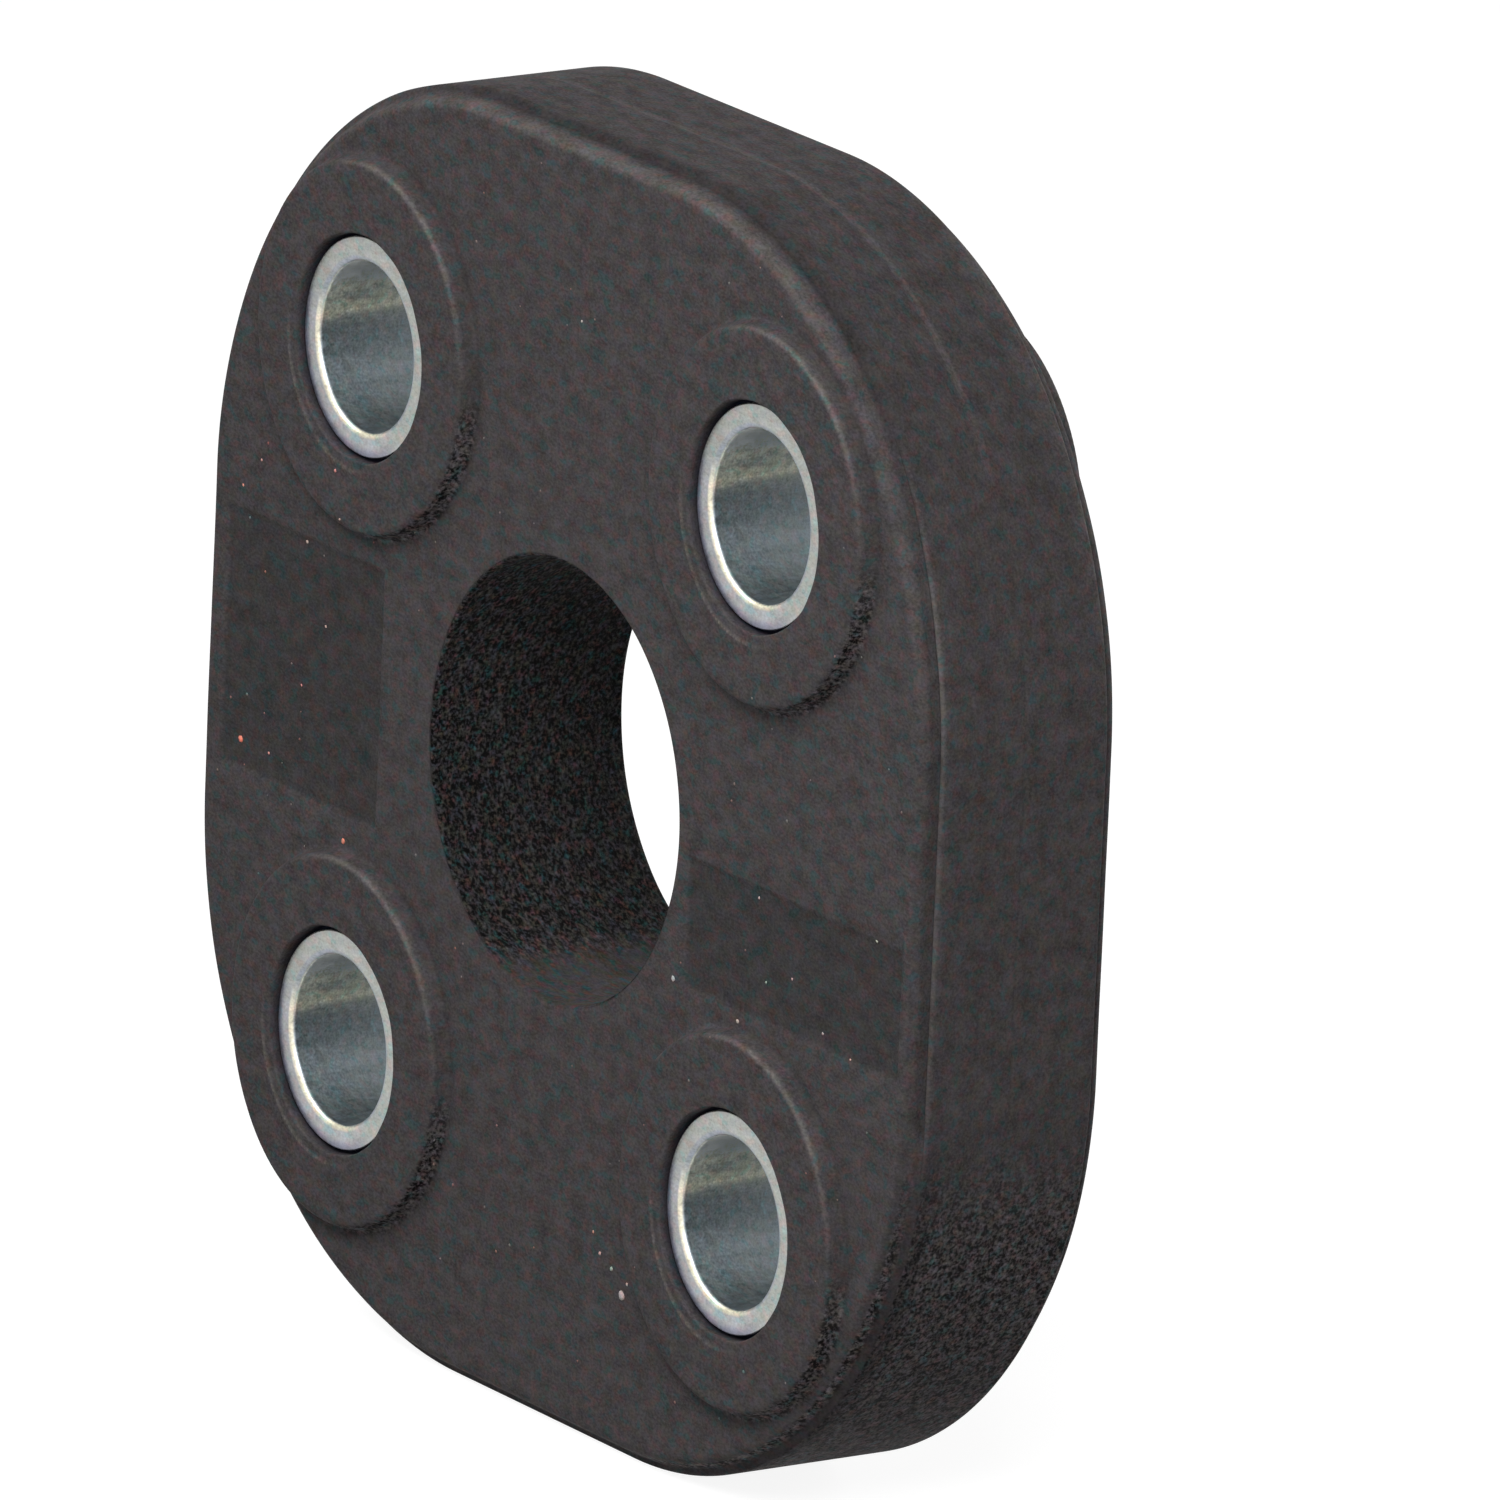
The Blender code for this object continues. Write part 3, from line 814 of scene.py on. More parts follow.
# Shader helpers
class Nodes:
    """Short calls for building a node tree."""

    def __init__(self, tree):
        self.tree = tree

    def add(self, kind, settings=(), **inputs):
        """Add a node, set its properties and fill or link its inputs by name."""
        node = self.tree.nodes.new(kind)
        for key, value in dict(settings).items():
            setattr(node, key, value)
        for key, value in inputs.items():
            self.fill(node.inputs[key.replace("_", " ")], value)
        return node

    def fill(self, socket, value):
        """Link an output to a socket, or set the socket's value."""
        if isinstance(value, bpy.types.NodeSocket):
            self.tree.links.new(value, socket)
        else:
            socket.default_value = value

    def math(self, operation, first, second=0.0, third=0.0, is_clamped=False):
        """A math node's output."""
        node = self.tree.nodes.new("ShaderNodeMath")
        node.operation = operation
        node.use_clamp = is_clamped
        for socket, value in zip(node.inputs, (first, second, third)):
            self.fill(socket, value)
        return node.outputs[0]

    def ramp(self, value, start, end, low=0.0, high=1.0):
        """A value mapped softly from one range to another."""
        node = self.tree.nodes.new("ShaderNodeMapRange")
        node.interpolation_type = "SMOOTHSTEP"
        for socket, number in zip(node.inputs, (value, start, end, low, high)):
            self.fill(socket, number)
        return node.outputs[0]

    def mix(self, share, first, second, blend="MIX"):
        """Two colours mixed by a share."""
        node = self.tree.nodes.new("ShaderNodeMix")
        node.data_type = "RGBA"
        node.blend_type = blend
        node.clamp_factor = True
        self.fill(node.inputs[0], share)
        self.fill(node.inputs[6], first)
        self.fill(node.inputs[7], second)
        return node.outputs[2]

    def distance(self, first, second):
        """How far a point lies from the origin, from two of its coordinates."""
        squares = (self.math("MULTIPLY", value, value) for value in (first, second))
        return self.math("SQRT", self.math("ADD", *squares))

    def scaled(self, vector, factors):
        """A vector with each coordinate multiplied by its own factor."""
        node = self.add("ShaderNodeVectorMath", {"operation": "MULTIPLY"})
        self.fill(node.inputs[0], vector)
        self.fill(node.inputs[1], factors)
        return node.outputs[0]

    def attribute(self, name, output="Fac"):
        """What is kept on the mesh under a name."""
        return self.add("ShaderNodeAttribute", {"attribute_name": name}).outputs[output]

    def noise(self, place, scale, detail=2.0, roughness=0.5):
        """A noise texture's value at a place."""
        node = self.add("ShaderNodeTexNoise", Scale=scale, Detail=detail, Roughness=roughness, Vector=place)
        return node.outputs["Fac"]


def group_tree(name, inputs, outputs):
    """An empty shader node group with named sockets."""
    tree = bpy.data.node_groups.new(name, "ShaderNodeTree")
    for label, kind, default in inputs:
        socket = tree.interface.new_socket(name=label, in_out="INPUT", socket_type=kind)
        if default is not None:
            socket.default_value = default
    for label, kind in outputs:
        tree.interface.new_socket(name=label, in_out="OUTPUT", socket_type=kind)
    nodes = Nodes(tree)
    return nodes, nodes.add("NodeGroupInput"), nodes.add("NodeGroupOutput")


# Grain of each surface: its fine scale, blotch scale and contrast
FACE_GRAIN = (6500.0, 900.0, 0.66)
LOW_WALL_GRAIN = (4800.0, 2000.0, 3.5)
HOLE_GRAIN = (5000.0, 2600.0, 4.4)
ZINC_GRAIN = (7000.0, 1600.0, 0.45)
DUST_GRAIN = (6000.0, 420.0, 0.3)

# How far the grain is drawn out across the disc, and the shares of its fine and blotchy parts
GRAIN_STRETCH = (0.62, 1.0, 1.0)
FINE_SHARE = 0.55
BLOTCH_SHARE = 0.45

# Faint tints over every surface: cycles in a metre, how far blue and red swing, and how much red
# rises in the reddish spots and falls in the teal ones
TINT_SCALE = 1750.0
BLUE_SWING = 0.6
RED_SWING = 0.35
RED_RISE = 0.14
TEAL_DEPTH = 0.30


def make_grain_group():
    """Grain: a fine bump height, a blotchy shade and a faint tint, all varying over the surface."""
    nodes, given, result = group_tree(
        "Grain",
        (
            ("Place", "NodeSocketVector", None),
            ("Fine Scale", "NodeSocketFloat", 6000.0),
            ("Blotch Scale", "NodeSocketFloat", 420.0),
            ("Contrast", "NodeSocketFloat", 0.2),
        ),
        (("Height", "NodeSocketFloat"), ("Shade", "NodeSocketFloat"), ("Tint", "NodeSocketColor")),
    )
    place = nodes.scaled(given.outputs["Place"], GRAIN_STRETCH)
    fine = nodes.noise(place, given.outputs["Fine Scale"], 3.0, 0.6)
    blotch = nodes.noise(place, given.outputs["Blotch Scale"], 5.0, 0.62)
    both = nodes.math(
        "ADD",
        nodes.math("MULTIPLY", fine, FINE_SHARE),
        nodes.math("MULTIPLY", blotch, BLOTCH_SHARE),
    )
    swing = nodes.math("MULTIPLY", nodes.math("SUBTRACT", both, 0.5), given.outputs["Contrast"])
    nodes.fill(result.inputs["Height"], fine)
    shade = nodes.math("ADD", 1.0, nodes.math("MULTIPLY", swing, 4.0))
    nodes.fill(result.inputs["Shade"], nodes.math("MAXIMUM", shade, 0.05))
    speckle = nodes.add("ShaderNodeTexNoise", Scale=TINT_SCALE, Detail=1.0, Roughness=0.5, Vector=place)
    swings = nodes.add("ShaderNodeSeparateColor", Color=speckle.outputs["Color"])
    wander = nodes.math("MULTIPLY", nodes.math("SUBTRACT", swings.outputs[0], 0.5), RED_SWING)
    reddish = nodes.math("ADD", wander, nodes.ramp(swings.outputs[0], 0.56, 0.68, 0.0, RED_RISE))
    red = nodes.math("SUBTRACT", reddish, nodes.ramp(swings.outputs[2], 0.43, 0.32, 0.0, TEAL_DEPTH))
    blue = nodes.math("MULTIPLY", nodes.math("SUBTRACT", swings.outputs[1], 0.5), BLUE_SWING)
    others = nodes.math("SUBTRACT", 1.0, nodes.math("MULTIPLY", red, 0.29))
    tint = nodes.add("ShaderNodeCombineColor", Red=nodes.math("ADD", 1.0, red), Green=others)
    nodes.fill(tint.inputs["Blue"], nodes.math("ADD", others, blue))
    nodes.fill(result.inputs["Tint"], tint.outputs[0])
    return nodes.tree


def add_grain(nodes, grain, place, values):
    """The grain group in a material, with its fine scale, blotch scale and contrast."""
    skin = nodes.add("ShaderNodeGroup", {"node_tree": grain}, Place=place)
    for name, value in zip(("Fine Scale", "Blotch Scale", "Contrast"), values):
        nodes.fill(skin.inputs[name], value)
    return skin


def shaded(nodes, base, shade, tint):
    """A colour made lighter or darker by a shade and turned by a tint."""
    scale = nodes.add("ShaderNodeVectorMath", {"operation": "SCALE"})
    nodes.fill(scale.inputs[0], base)
    nodes.fill(scale.inputs["Scale"], shade)
    return nodes.mix(1.0, scale.outputs[0], tint, "MULTIPLY")


def new_material(name):
    """An empty material, its nodes helper and its Principled BSDF."""
    material = bpy.data.materials.new(name)
    material.use_nodes = True
    shader = material.node_tree.nodes["Principled BSDF"]
    return material, Nodes(material.node_tree), shader


# Where the rubber changes, as the start and the end of each soft change: out from the disc's middle to
# the painted shade on the hole's wall; up from it inside the hole, to the painted light on the hole's low
# part and to the painted light that grows up the hole's wall; and out from the nearest sleeve's middle.
# The last is a direction
HOLE_WALL = (0.01335, 0.01352)
HOLE_FLOOR = (-0.0112, -0.0131)
HOLE_LIGHT_RISE = (-0.006, 0.011)
OUTSIDE_MOUTH = (0.0085, 0.0095)
FOOT_INNER = (0.01090, 0.01125)
FOOT_OUTER = (0.01190, 0.01145)
FOOT_TURN = radians(-50)


def low_wall_mask(nodes, x, z):
    """1 low on the side wall and below each boss, where the rubber is coarse, and 0 elsewhere."""
    normal = nodes.add("ShaderNodeNewGeometry").outputs["Normal"]
    facing = nodes.add("ShaderNodeSeparateXYZ", Vector=normal)
    across = nodes.math("SUBTRACT", x, nodes.math("MULTIPLY", nodes.math("SIGN", x), SLEEVE_OFFSET))
    along = nodes.math("SUBTRACT", z, nodes.math("MULTIPLY", nodes.math("SIGN", z), SLEEVE_OFFSET))
    from_sleeve = nodes.distance(across, along)
    faces_down = nodes.ramp(facing.outputs["Z"], -0.02, -0.40)
    is_outside = nodes.ramp(from_sleeve, *OUTSIDE_MOUTH)
    is_side = nodes.ramp(nodes.math("ABSOLUTE", facing.outputs["Y"]), 0.75, 0.45)
    low_side = nodes.math("MULTIPLY", nodes.math("MULTIPLY", faces_down, is_outside), is_side)
    downward = nodes.math(
        "ADD",
        nodes.math("MULTIPLY", across, cos(FOOT_TURN)),
        nodes.math("MULTIPLY", along, sin(FOOT_TURN)),
    )
    is_low = nodes.ramp(nodes.math("DIVIDE", downward, from_sleeve), 0.60, 0.85, 0.0, 0.85)
    foot = nodes.math("MULTIPLY", nodes.ramp(from_sleeve, *FOOT_INNER), nodes.ramp(from_sleeve, *FOOT_OUTER))
    return nodes.math("MAXIMUM", low_side, nodes.math("MULTIPLY", foot, is_low))


def make_rubber(finishes, grain):
    """Matt moulded rubber: finely grained, coarser low on the wall and in the middle hole."""
    material, nodes, shader = new_material("moulded_rubber")
    place = nodes.add("ShaderNodeTexCoord").outputs["Object"]
    centred = nodes.add("ShaderNodeVectorMath", {"operation": "SUBTRACT"})
    nodes.fill(centred.inputs[0], place)
    nodes.fill(centred.inputs[1], DISC_CENTRE)
    parts = nodes.add("ShaderNodeSeparateXYZ", Vector=centred.outputs[0])
    x = parts.outputs["X"]
    z = parts.outputs["Z"]
    in_hole = nodes.ramp(nodes.distance(x, z), *HOLE_WALL, 1.0, 0.0)
    on_floor = nodes.ramp(z, *HOLE_FLOOR)
    rough_hole = nodes.math("MULTIPLY", in_hole, nodes.math("SUBTRACT", 1.0, on_floor))
    rough_share = nodes.math("MAXIMUM", rough_hole, low_wall_mask(nodes, x, z))

    skin = add_grain(nodes, grain, place, FACE_GRAIN)
    pairs = zip(LOW_WALL_GRAIN, HOLE_GRAIN)
    coarse = add_grain(nodes, grain, place, [nodes.ramp(in_hole, 0.0, 1.0, *pair) for pair in pairs])

    field = nodes.attribute("bare_field")
    # Painted highlight and painted shade along the edges, from the tone kept on the mesh
    tone = nodes.attribute("edge_tone")
    painted_highlight_share = nodes.math("MULTIPLY", tone, 1.0 / FULL_HIGHLIGHT, is_clamped=True)
    painted_shade_share = nodes.math("MULTIPLY", tone, -1.0, is_clamped=True)
    smoothed = nodes.mix(field, tuple(finishes.rubber), tuple(finishes.rubber_field))
    painted_highlighted = nodes.mix(painted_highlight_share, smoothed, tuple(finishes.painted_highlight))
    painted_shaded = nodes.mix(painted_shade_share, painted_highlighted, tuple(finishes.painted_shade))
    # Painted shade on the hole's wall and painted light on its low part
    inside = nodes.mix(on_floor, tuple(finishes.rubber_shaded_in_hole), tuple(finishes.rubber_lit_low_in_hole))
    holed = nodes.mix(in_hole, painted_shaded, inside)
    # Painted shadow in the recess round each sleeve
    base = nodes.mix(nodes.attribute("mouth_wall"), holed, tuple(finishes.mouth))
    # Painted light that grows up the hole's wall
    hole_light = nodes.math("MULTIPLY", in_hole, nodes.ramp(z, *HOLE_LIGHT_RISE, 0.0, 0.95))
    hole_light_gain = nodes.math("ADD", 1.0, hole_light)
    shade = nodes.math(
        "ADD",
        nodes.math("MULTIPLY", skin.outputs["Shade"], nodes.math("SUBTRACT", 1.0, rough_share)),
        nodes.math("MULTIPLY", coarse.outputs["Shade"], nodes.math("MULTIPLY", rough_share, hole_light_gain)),
    )
    strong_tint = nodes.mix(in_hole, skin.outputs["Tint"], skin.outputs["Tint"], "MULTIPLY")
    nodes.fill(shader.inputs["Base Color"], shaded(nodes, base, shade, strong_tint))
    nodes.fill(shader.inputs["Roughness"], nodes.ramp(skin.outputs["Shade"], 0.7, 1.3, 0.80, 0.66))
    shader.inputs["Specular IOR Level"].default_value = 0.05

    fine_bump = nodes.add("ShaderNodeBump", Strength=0.35, Distance=0.00003, Height=skin.outputs["Height"])
    coarse_height = nodes.math("MULTIPLY", coarse.outputs["Height"], rough_share)
    bumps = nodes.add("ShaderNodeBump", Strength=0.9, Distance=0.0001, Height=coarse_height)
    nodes.fill(bumps.inputs["Normal"], fine_bump.outputs[0])
    nodes.fill(shader.inputs["Normal"], bumps.outputs[0])
    return material


# Where a sleeve's surface changes, as the start and the end of each soft change: out from its axis,
# then up from it inside the bore, where painted light makes the bore paler and brighter higher up
BORE_WALL = (0.00511, 0.00516)
CHAMFER_INNER = (0.00512, 0.00520)
CHAMFER_OUTER = (0.00552, 0.00535)
RING_OUTER = (0.00585, 0.00645)
BORE_LIGHT_RISE = (-0.0014, 0.0036)
BORE_LIGHT_GAIN = (0.0010, 0.0042)

# Directions round a sleeve of the bore's painted reflection, a bright streak, of the painted glow beside it
# and of the rings' lit side, how fast the streak turns along the bore, and how the bore's fine lines are
# squeezed and drawn out
STREAK_TURN = radians(165)
GLOW_TURN = radians(150)
LIT_TURN = radians(-130)
STREAK_LEAN = 10.0
LINE_STRETCH = (2.2, 0.12, 2.2)


def make_zinc(finishes, grain):
    """Satin zinc plating: pale mottled ends, a streaked bore and a yellowish painted reflection along it."""
    material, nodes, shader = new_material("zinc_plating")
    local = nodes.attribute("sleeve_place", "Vector")
    parts = nodes.add("ShaderNodeSeparateXYZ", Vector=local)
    x, y, z = (parts.outputs[i] for i in range(3))
    away = nodes.distance(x, z)
    turn = nodes.math("ARCTAN2", z, x)
    skin = add_grain(nodes, grain, local, ZINC_GRAIN)

    # Painted reflection: a bright streak along the bore with a painted glow beside it
    leaned = nodes.math("ADD", turn, nodes.math("MULTIPLY", y, STREAK_LEAN))
    from_streak = nodes.math("ABSOLUTE", nodes.math("SUBTRACT", leaned, STREAK_TURN))
    from_glow = nodes.math("ABSOLUTE", nodes.math("SUBTRACT", leaned, GLOW_TURN))
    streak = nodes.math(
        "ADD",
        nodes.ramp(from_streak, 0.02, 0.15, 0.56, 0.0),
        nodes.ramp(from_glow, 0.05, 0.60, 0.30, 0.0),
    )
    lines = nodes.noise(nodes.scaled(local, LINE_STRETCH), 900.0, 4.0, 0.65)
    streak_share = nodes.math("MULTIPLY", streak, nodes.ramp(lines, 0.25, 0.75, 0.84, 1.16))
    # Painted light: the bore darker low down and paler higher up
    is_upper = nodes.ramp(z, *BORE_LIGHT_RISE)
    plain_bore = nodes.mix(is_upper, tuple(finishes.bore_zinc_in_shade), tuple(finishes.bore_zinc_lit))
    bore = nodes.mix(streak_share, plain_bore, tuple(finishes.bore_reflection))

    on_edge = nodes.math("MULTIPLY", nodes.ramp(away, *CHAMFER_INNER), nodes.ramp(away, *CHAMFER_OUTER))
    # Painted light on the lit side of each end ring and bore's edge, painted shade on the rest of the edge
    is_lit = nodes.ramp(nodes.math("COSINE", nodes.math("SUBTRACT", turn, LIT_TURN)), 0.15, 0.60)
    edge = nodes.mix(is_lit, tuple(finishes.chamfer), tuple(finishes.chamfer_lit))
    at_rubber = nodes.math("MULTIPLY", nodes.ramp(away, *RING_OUTER), is_lit)
    end_ring = nodes.mix(is_lit, tuple(finishes.zinc), tuple(finishes.zinc_lit))
    ends = nodes.mix(on_edge, nodes.mix(at_rubber, end_ring, tuple(finishes.zinc_outer)), edge)
    in_bore = nodes.ramp(away, *BORE_WALL, 1.0, 0.0)
    base = nodes.mix(in_bore, ends, bore)

    line_shade = nodes.math("ADD", 0.85, nodes.math("MULTIPLY", lines, 0.3))
    # More painted light higher up the bore
    bore_light_gain = nodes.ramp(z, *BORE_LIGHT_GAIN, 0.0, 1.05)
    bore_gain = nodes.math("ADD", nodes.math("SUBTRACT", line_shade, 1.0), bore_light_gain)
    gain = nodes.math("ADD", nodes.math("MULTIPLY", bore_gain, in_bore), 1.0)
    shade = nodes.math("MULTIPLY", skin.outputs["Shade"], gain)
    tint = nodes.mix(0.5, skin.outputs["Tint"], (1.0, 1.0, 1.0, 1.0))
    nodes.fill(shader.inputs["Base Color"], shaded(nodes, base, shade, tint))
    shader.inputs["Metallic"].default_value = 1.0
    nodes.fill(shader.inputs["Roughness"], nodes.ramp(skin.outputs["Shade"], 0.7, 1.3, 0.36, 0.50))
    fine_bump = nodes.add("ShaderNodeBump", Strength=0.25, Distance=0.00002, Height=skin.outputs["Height"])
    nodes.fill(shader.inputs["Normal"], fine_bump.outputs[0])
    return material


def make_dust(finishes, grain):
    """Dull specks, some pale and some reddish, by the tint kept on each."""
    material, nodes, shader = new_material("dust")
    place = nodes.add("ShaderNodeTexCoord").outputs["Object"]
    skin = add_grain(nodes, grain, place, DUST_GRAIN)
    strong = nodes.mix(nodes.attribute("tint"), tuple(finishes.dust), tuple(finishes.red_dust))
    base = nodes.mix(nodes.attribute("faint"), strong, tuple(finishes.rubber))
    nodes.fill(shader.inputs["Base Color"], shaded(nodes, base, skin.outputs["Shade"], skin.outputs["Tint"]))
    shader.inputs["Roughness"].default_value = 0.9
    shader.inputs["Specular IOR Level"].default_value = 0.2
    return material


def geometry_tree(name, inputs):
    """An empty geometry node group with a geometry in and out and named inputs."""
    tree = bpy.data.node_groups.new(name, "GeometryNodeTree")
    tree.interface.new_socket(name="Geometry", in_out="INPUT", socket_type="NodeSocketGeometry")
    for label, kind in inputs:
        tree.interface.new_socket(name=label, in_out="INPUT", socket_type=kind)
    tree.interface.new_socket(name="Geometry", in_out="OUTPUT", socket_type="NodeSocketGeometry")
    nodes = Nodes(tree)
    return nodes, nodes.add("NodeGroupInput"), nodes.add("NodeGroupOutput")


def run_geometry(tree, base, values):
    """Run a geometry tree on a mesh with the given inputs and return the result as a plain mesh."""
    maker = bpy.data.objects.new("maker", base)
    bpy.context.scene.collection.objects.link(maker)
    modifier = maker.modifiers.new("maker", "NODES")
    modifier.node_group = tree
    for item in tree.interface.items_tree:
        if item.in_out == "INPUT" and item.name in values:
            modifier[item.identifier] = values[item.name]
    bpy.context.view_layer.update()
    graph = bpy.context.evaluated_depsgraph_get()
    mesh = bpy.data.meshes.new_from_object(maker.evaluated_get(graph), depsgraph=graph)
    bpy.data.objects.remove(maker)
    return mesh


# Cuts along each side of a sleeve's section, steps round a sleeve and points on each rounded edge
WALL_CUTS = 3
SLEEVE_STEPS = 192
EDGE_POINTS = 6


def sleeve_tree():
    """A tube turned round the Y axis with rounded bore and outer edges, set at its place."""
    nodes, given, result = geometry_tree(
        "Turned Sleeve",
        (
            ("Outside", "NodeSocketFloat"),
            ("Bore", "NodeSocketFloat"),
            ("Length", "NodeSocketFloat"),
            ("Bore Edge", "NodeSocketFloat"),
            ("Outer Edge", "NodeSocketFloat"),
            ("Place", "NodeSocketVector"),
            ("Finish", "NodeSocketMaterial"),
        ),
    )
    outer = nodes.math("MULTIPLY", given.outputs["Outside"], 0.5)
    bore = nodes.math("MULTIPLY", given.outputs["Bore"], 0.5)
    wall = nodes.math("SUBTRACT", outer, bore)
    middle = nodes.math("MULTIPLY", nodes.math("ADD", outer, bore), 0.5)
    length = given.outputs["Length"]
    section = nodes.add("GeometryNodeCurvePrimitiveQuadrilateral", Width=wall, Height=length)
    cut = nodes.add("GeometryNodeSubdivideCurve", Curve=section.outputs[0], Cuts=WALL_CUTS)
    index = nodes.add("GeometryNodeInputIndex").outputs[0]
    is_corner = nodes.math("LESS_THAN", nodes.math("MODULO", index, WALL_CUTS + 1), 0.5)
    side = nodes.add("ShaderNodeSeparateXYZ", Vector=nodes.add("GeometryNodeInputPosition").outputs[0])
    is_inner = nodes.math("LESS_THAN", side.outputs[0], 0.0)
    gain = nodes.math("SUBTRACT", given.outputs["Bore Edge"], given.outputs["Outer Edge"])
    edge = nodes.math("ADD", given.outputs["Outer Edge"], nodes.math("MULTIPLY", gain, is_inner))
    radius = nodes.math("MULTIPLY", edge, is_corner)
    rounded = nodes.add("GeometryNodeFilletCurve", {"mode": "POLY"}, Curve=cut.outputs[0], Radius=radius)
    rounded.inputs["Count"].default_value = EDGE_POINTS
    path = nodes.add("GeometryNodeCurvePrimitiveCircle", Resolution=SLEEVE_STEPS, Radius=middle)
    tube = nodes.add("GeometryNodeCurveToMesh", Curve=path.outputs[0], Profile_Curve=rounded.outputs[0])
    turned = nodes.add("GeometryNodeTransform", Geometry=tube.outputs[0], Rotation=(pi / 2, 0.0, 0.0))
    kept = nodes.add(
        "GeometryNodeStoreNamedAttribute",
        {"data_type": "FLOAT_VECTOR", "domain": "POINT"},
        Geometry=turned.outputs[0],
        Name="sleeve_place",
        Value=nodes.add("GeometryNodeInputPosition").outputs[0],
    )
    placed = nodes.add("GeometryNodeTransform", Geometry=kept.outputs[0], Translation=given.outputs["Place"])
    smooth = nodes.add("GeometryNodeSetShadeSmooth", Geometry=placed.outputs[0])
    whole = nodes.add("GeometryNodeRealizeInstances", Geometry=smooth.outputs[0])
    finish = given.outputs["Finish"]
    coated = nodes.add("GeometryNodeSetMaterial", Geometry=whole.outputs[0], Material=finish)
    nodes.fill(result.inputs[0], coated.outputs[0])
    return nodes.tree


def speck_tree():
    """Lumpy specks, one at each point of the mesh, as large as the size kept on that point."""
    nodes, given, result = geometry_tree(
        "Specks",
        (("Seed", "NodeSocketInt"), ("Flatness", "NodeSocketFloat"), ("Finish", "NodeSocketMaterial")),
    )
    lump = nodes.add("GeometryNodeMeshIcoSphere", Radius=1.0, Subdivisions=2)
    place = nodes.add("GeometryNodeInputPosition").outputs[0]
    dent = nodes.add("ShaderNodeVectorMath", {"operation": "SCALE"})
    nodes.fill(dent.inputs[0], place)
    nodes.fill(dent.inputs["Scale"], nodes.math("SUBTRACT", nodes.noise(place, 1.1, 2.0, 0.5), 0.5))
    shaped = nodes.add("GeometryNodeSetPosition", Geometry=lump.outputs[0], Offset=dent.outputs[0])
    size = nodes.add("GeometryNodeInputNamedAttribute", {"data_type": "FLOAT"}, Name="size").outputs[0]
    squat = nodes.math("MULTIPLY", size, given.outputs["Flatness"])
    scale = nodes.add("ShaderNodeCombineXYZ", X=size, Y=squat, Z=size)
    turn = nodes.add("FunctionNodeRandomValue", {"data_type": "FLOAT"}, Seed=given.outputs["Seed"])
    turn.inputs[3].default_value = 2 * pi
    rotation = nodes.add("ShaderNodeCombineXYZ", Y=turn.outputs[1])
    spread = nodes.add("GeometryNodeInstanceOnPoints", Points=given.outputs[0], Instance=shaped.outputs[0])
    nodes.fill(spread.inputs["Rotation"], rotation.outputs[0])
    nodes.fill(spread.inputs["Scale"], scale.outputs[0])
    whole = nodes.add("GeometryNodeRealizeInstances", Geometry=spread.outputs[0])
    smooth = nodes.add("GeometryNodeSetShadeSmooth", Geometry=whole.outputs[0])
    finish = given.outputs["Finish"]
    coated = nodes.add("GeometryNodeSetMaterial", Geometry=smooth.outputs[0], Material=finish)
    nodes.fill(result.inputs[0], coated.outputs[0])
    return nodes.tree


def shared_grain():
    """The grain group, built once."""
    return bpy.data.node_groups.get("Grain") or make_grain_group()


class COUPLING_OT_disc(bpy.types.Operator):
    """Build the moulded rubber disc"""

    bl_idname = "coupling.disc"
    bl_label = "Rubber Disc"

    def execute(self, context):
        mesh = disc_mesh(DiscForm(context.scene.coupling_disc))
        mesh.materials.append(make_rubber(context.scene.coupling_finishes, shared_grain()))
        add_piece("rubber_disc", mesh, "rubber", DISC_NODE)
        return {"FINISHED"}


class COUPLING_OT_sleeves(bpy.types.Operator):
    """Build the four steel sleeves"""

    bl_idname = "coupling.sleeves"
    bl_label = "Steel Sleeves"

    def execute(self, context):
        sizes = context.scene.coupling_sleeves
        zinc = make_zinc(context.scene.coupling_finishes, shared_grain())
        tree = sleeve_tree()
        for node, centre in SLEEVE_CENTRES.items():
            values = {
                "Outside": sizes.outer,
                "Bore": sizes.bore,
                "Length": sizes.length,
                "Bore Edge": sizes.bore_edge,
                "Outer Edge": sizes.outer_edge,
                "Place": tuple(centre),
                "Finish": zinc,
            }
            mesh = run_geometry(tree, bpy.data.meshes.new("start"), values)
            shape = bmesh.new()
            shape.from_mesh(mesh)
            bmesh.ops.remove_doubles(shape, verts=shape.verts, dist=MERGE)
            bmesh.ops.recalc_face_normals(shape, faces=shape.faces)
            shape.to_mesh(mesh)
            shape.free()
            add_piece("steel_" + node, mesh, "zinc_plated_steel", node)
        return {"FINISHED"}


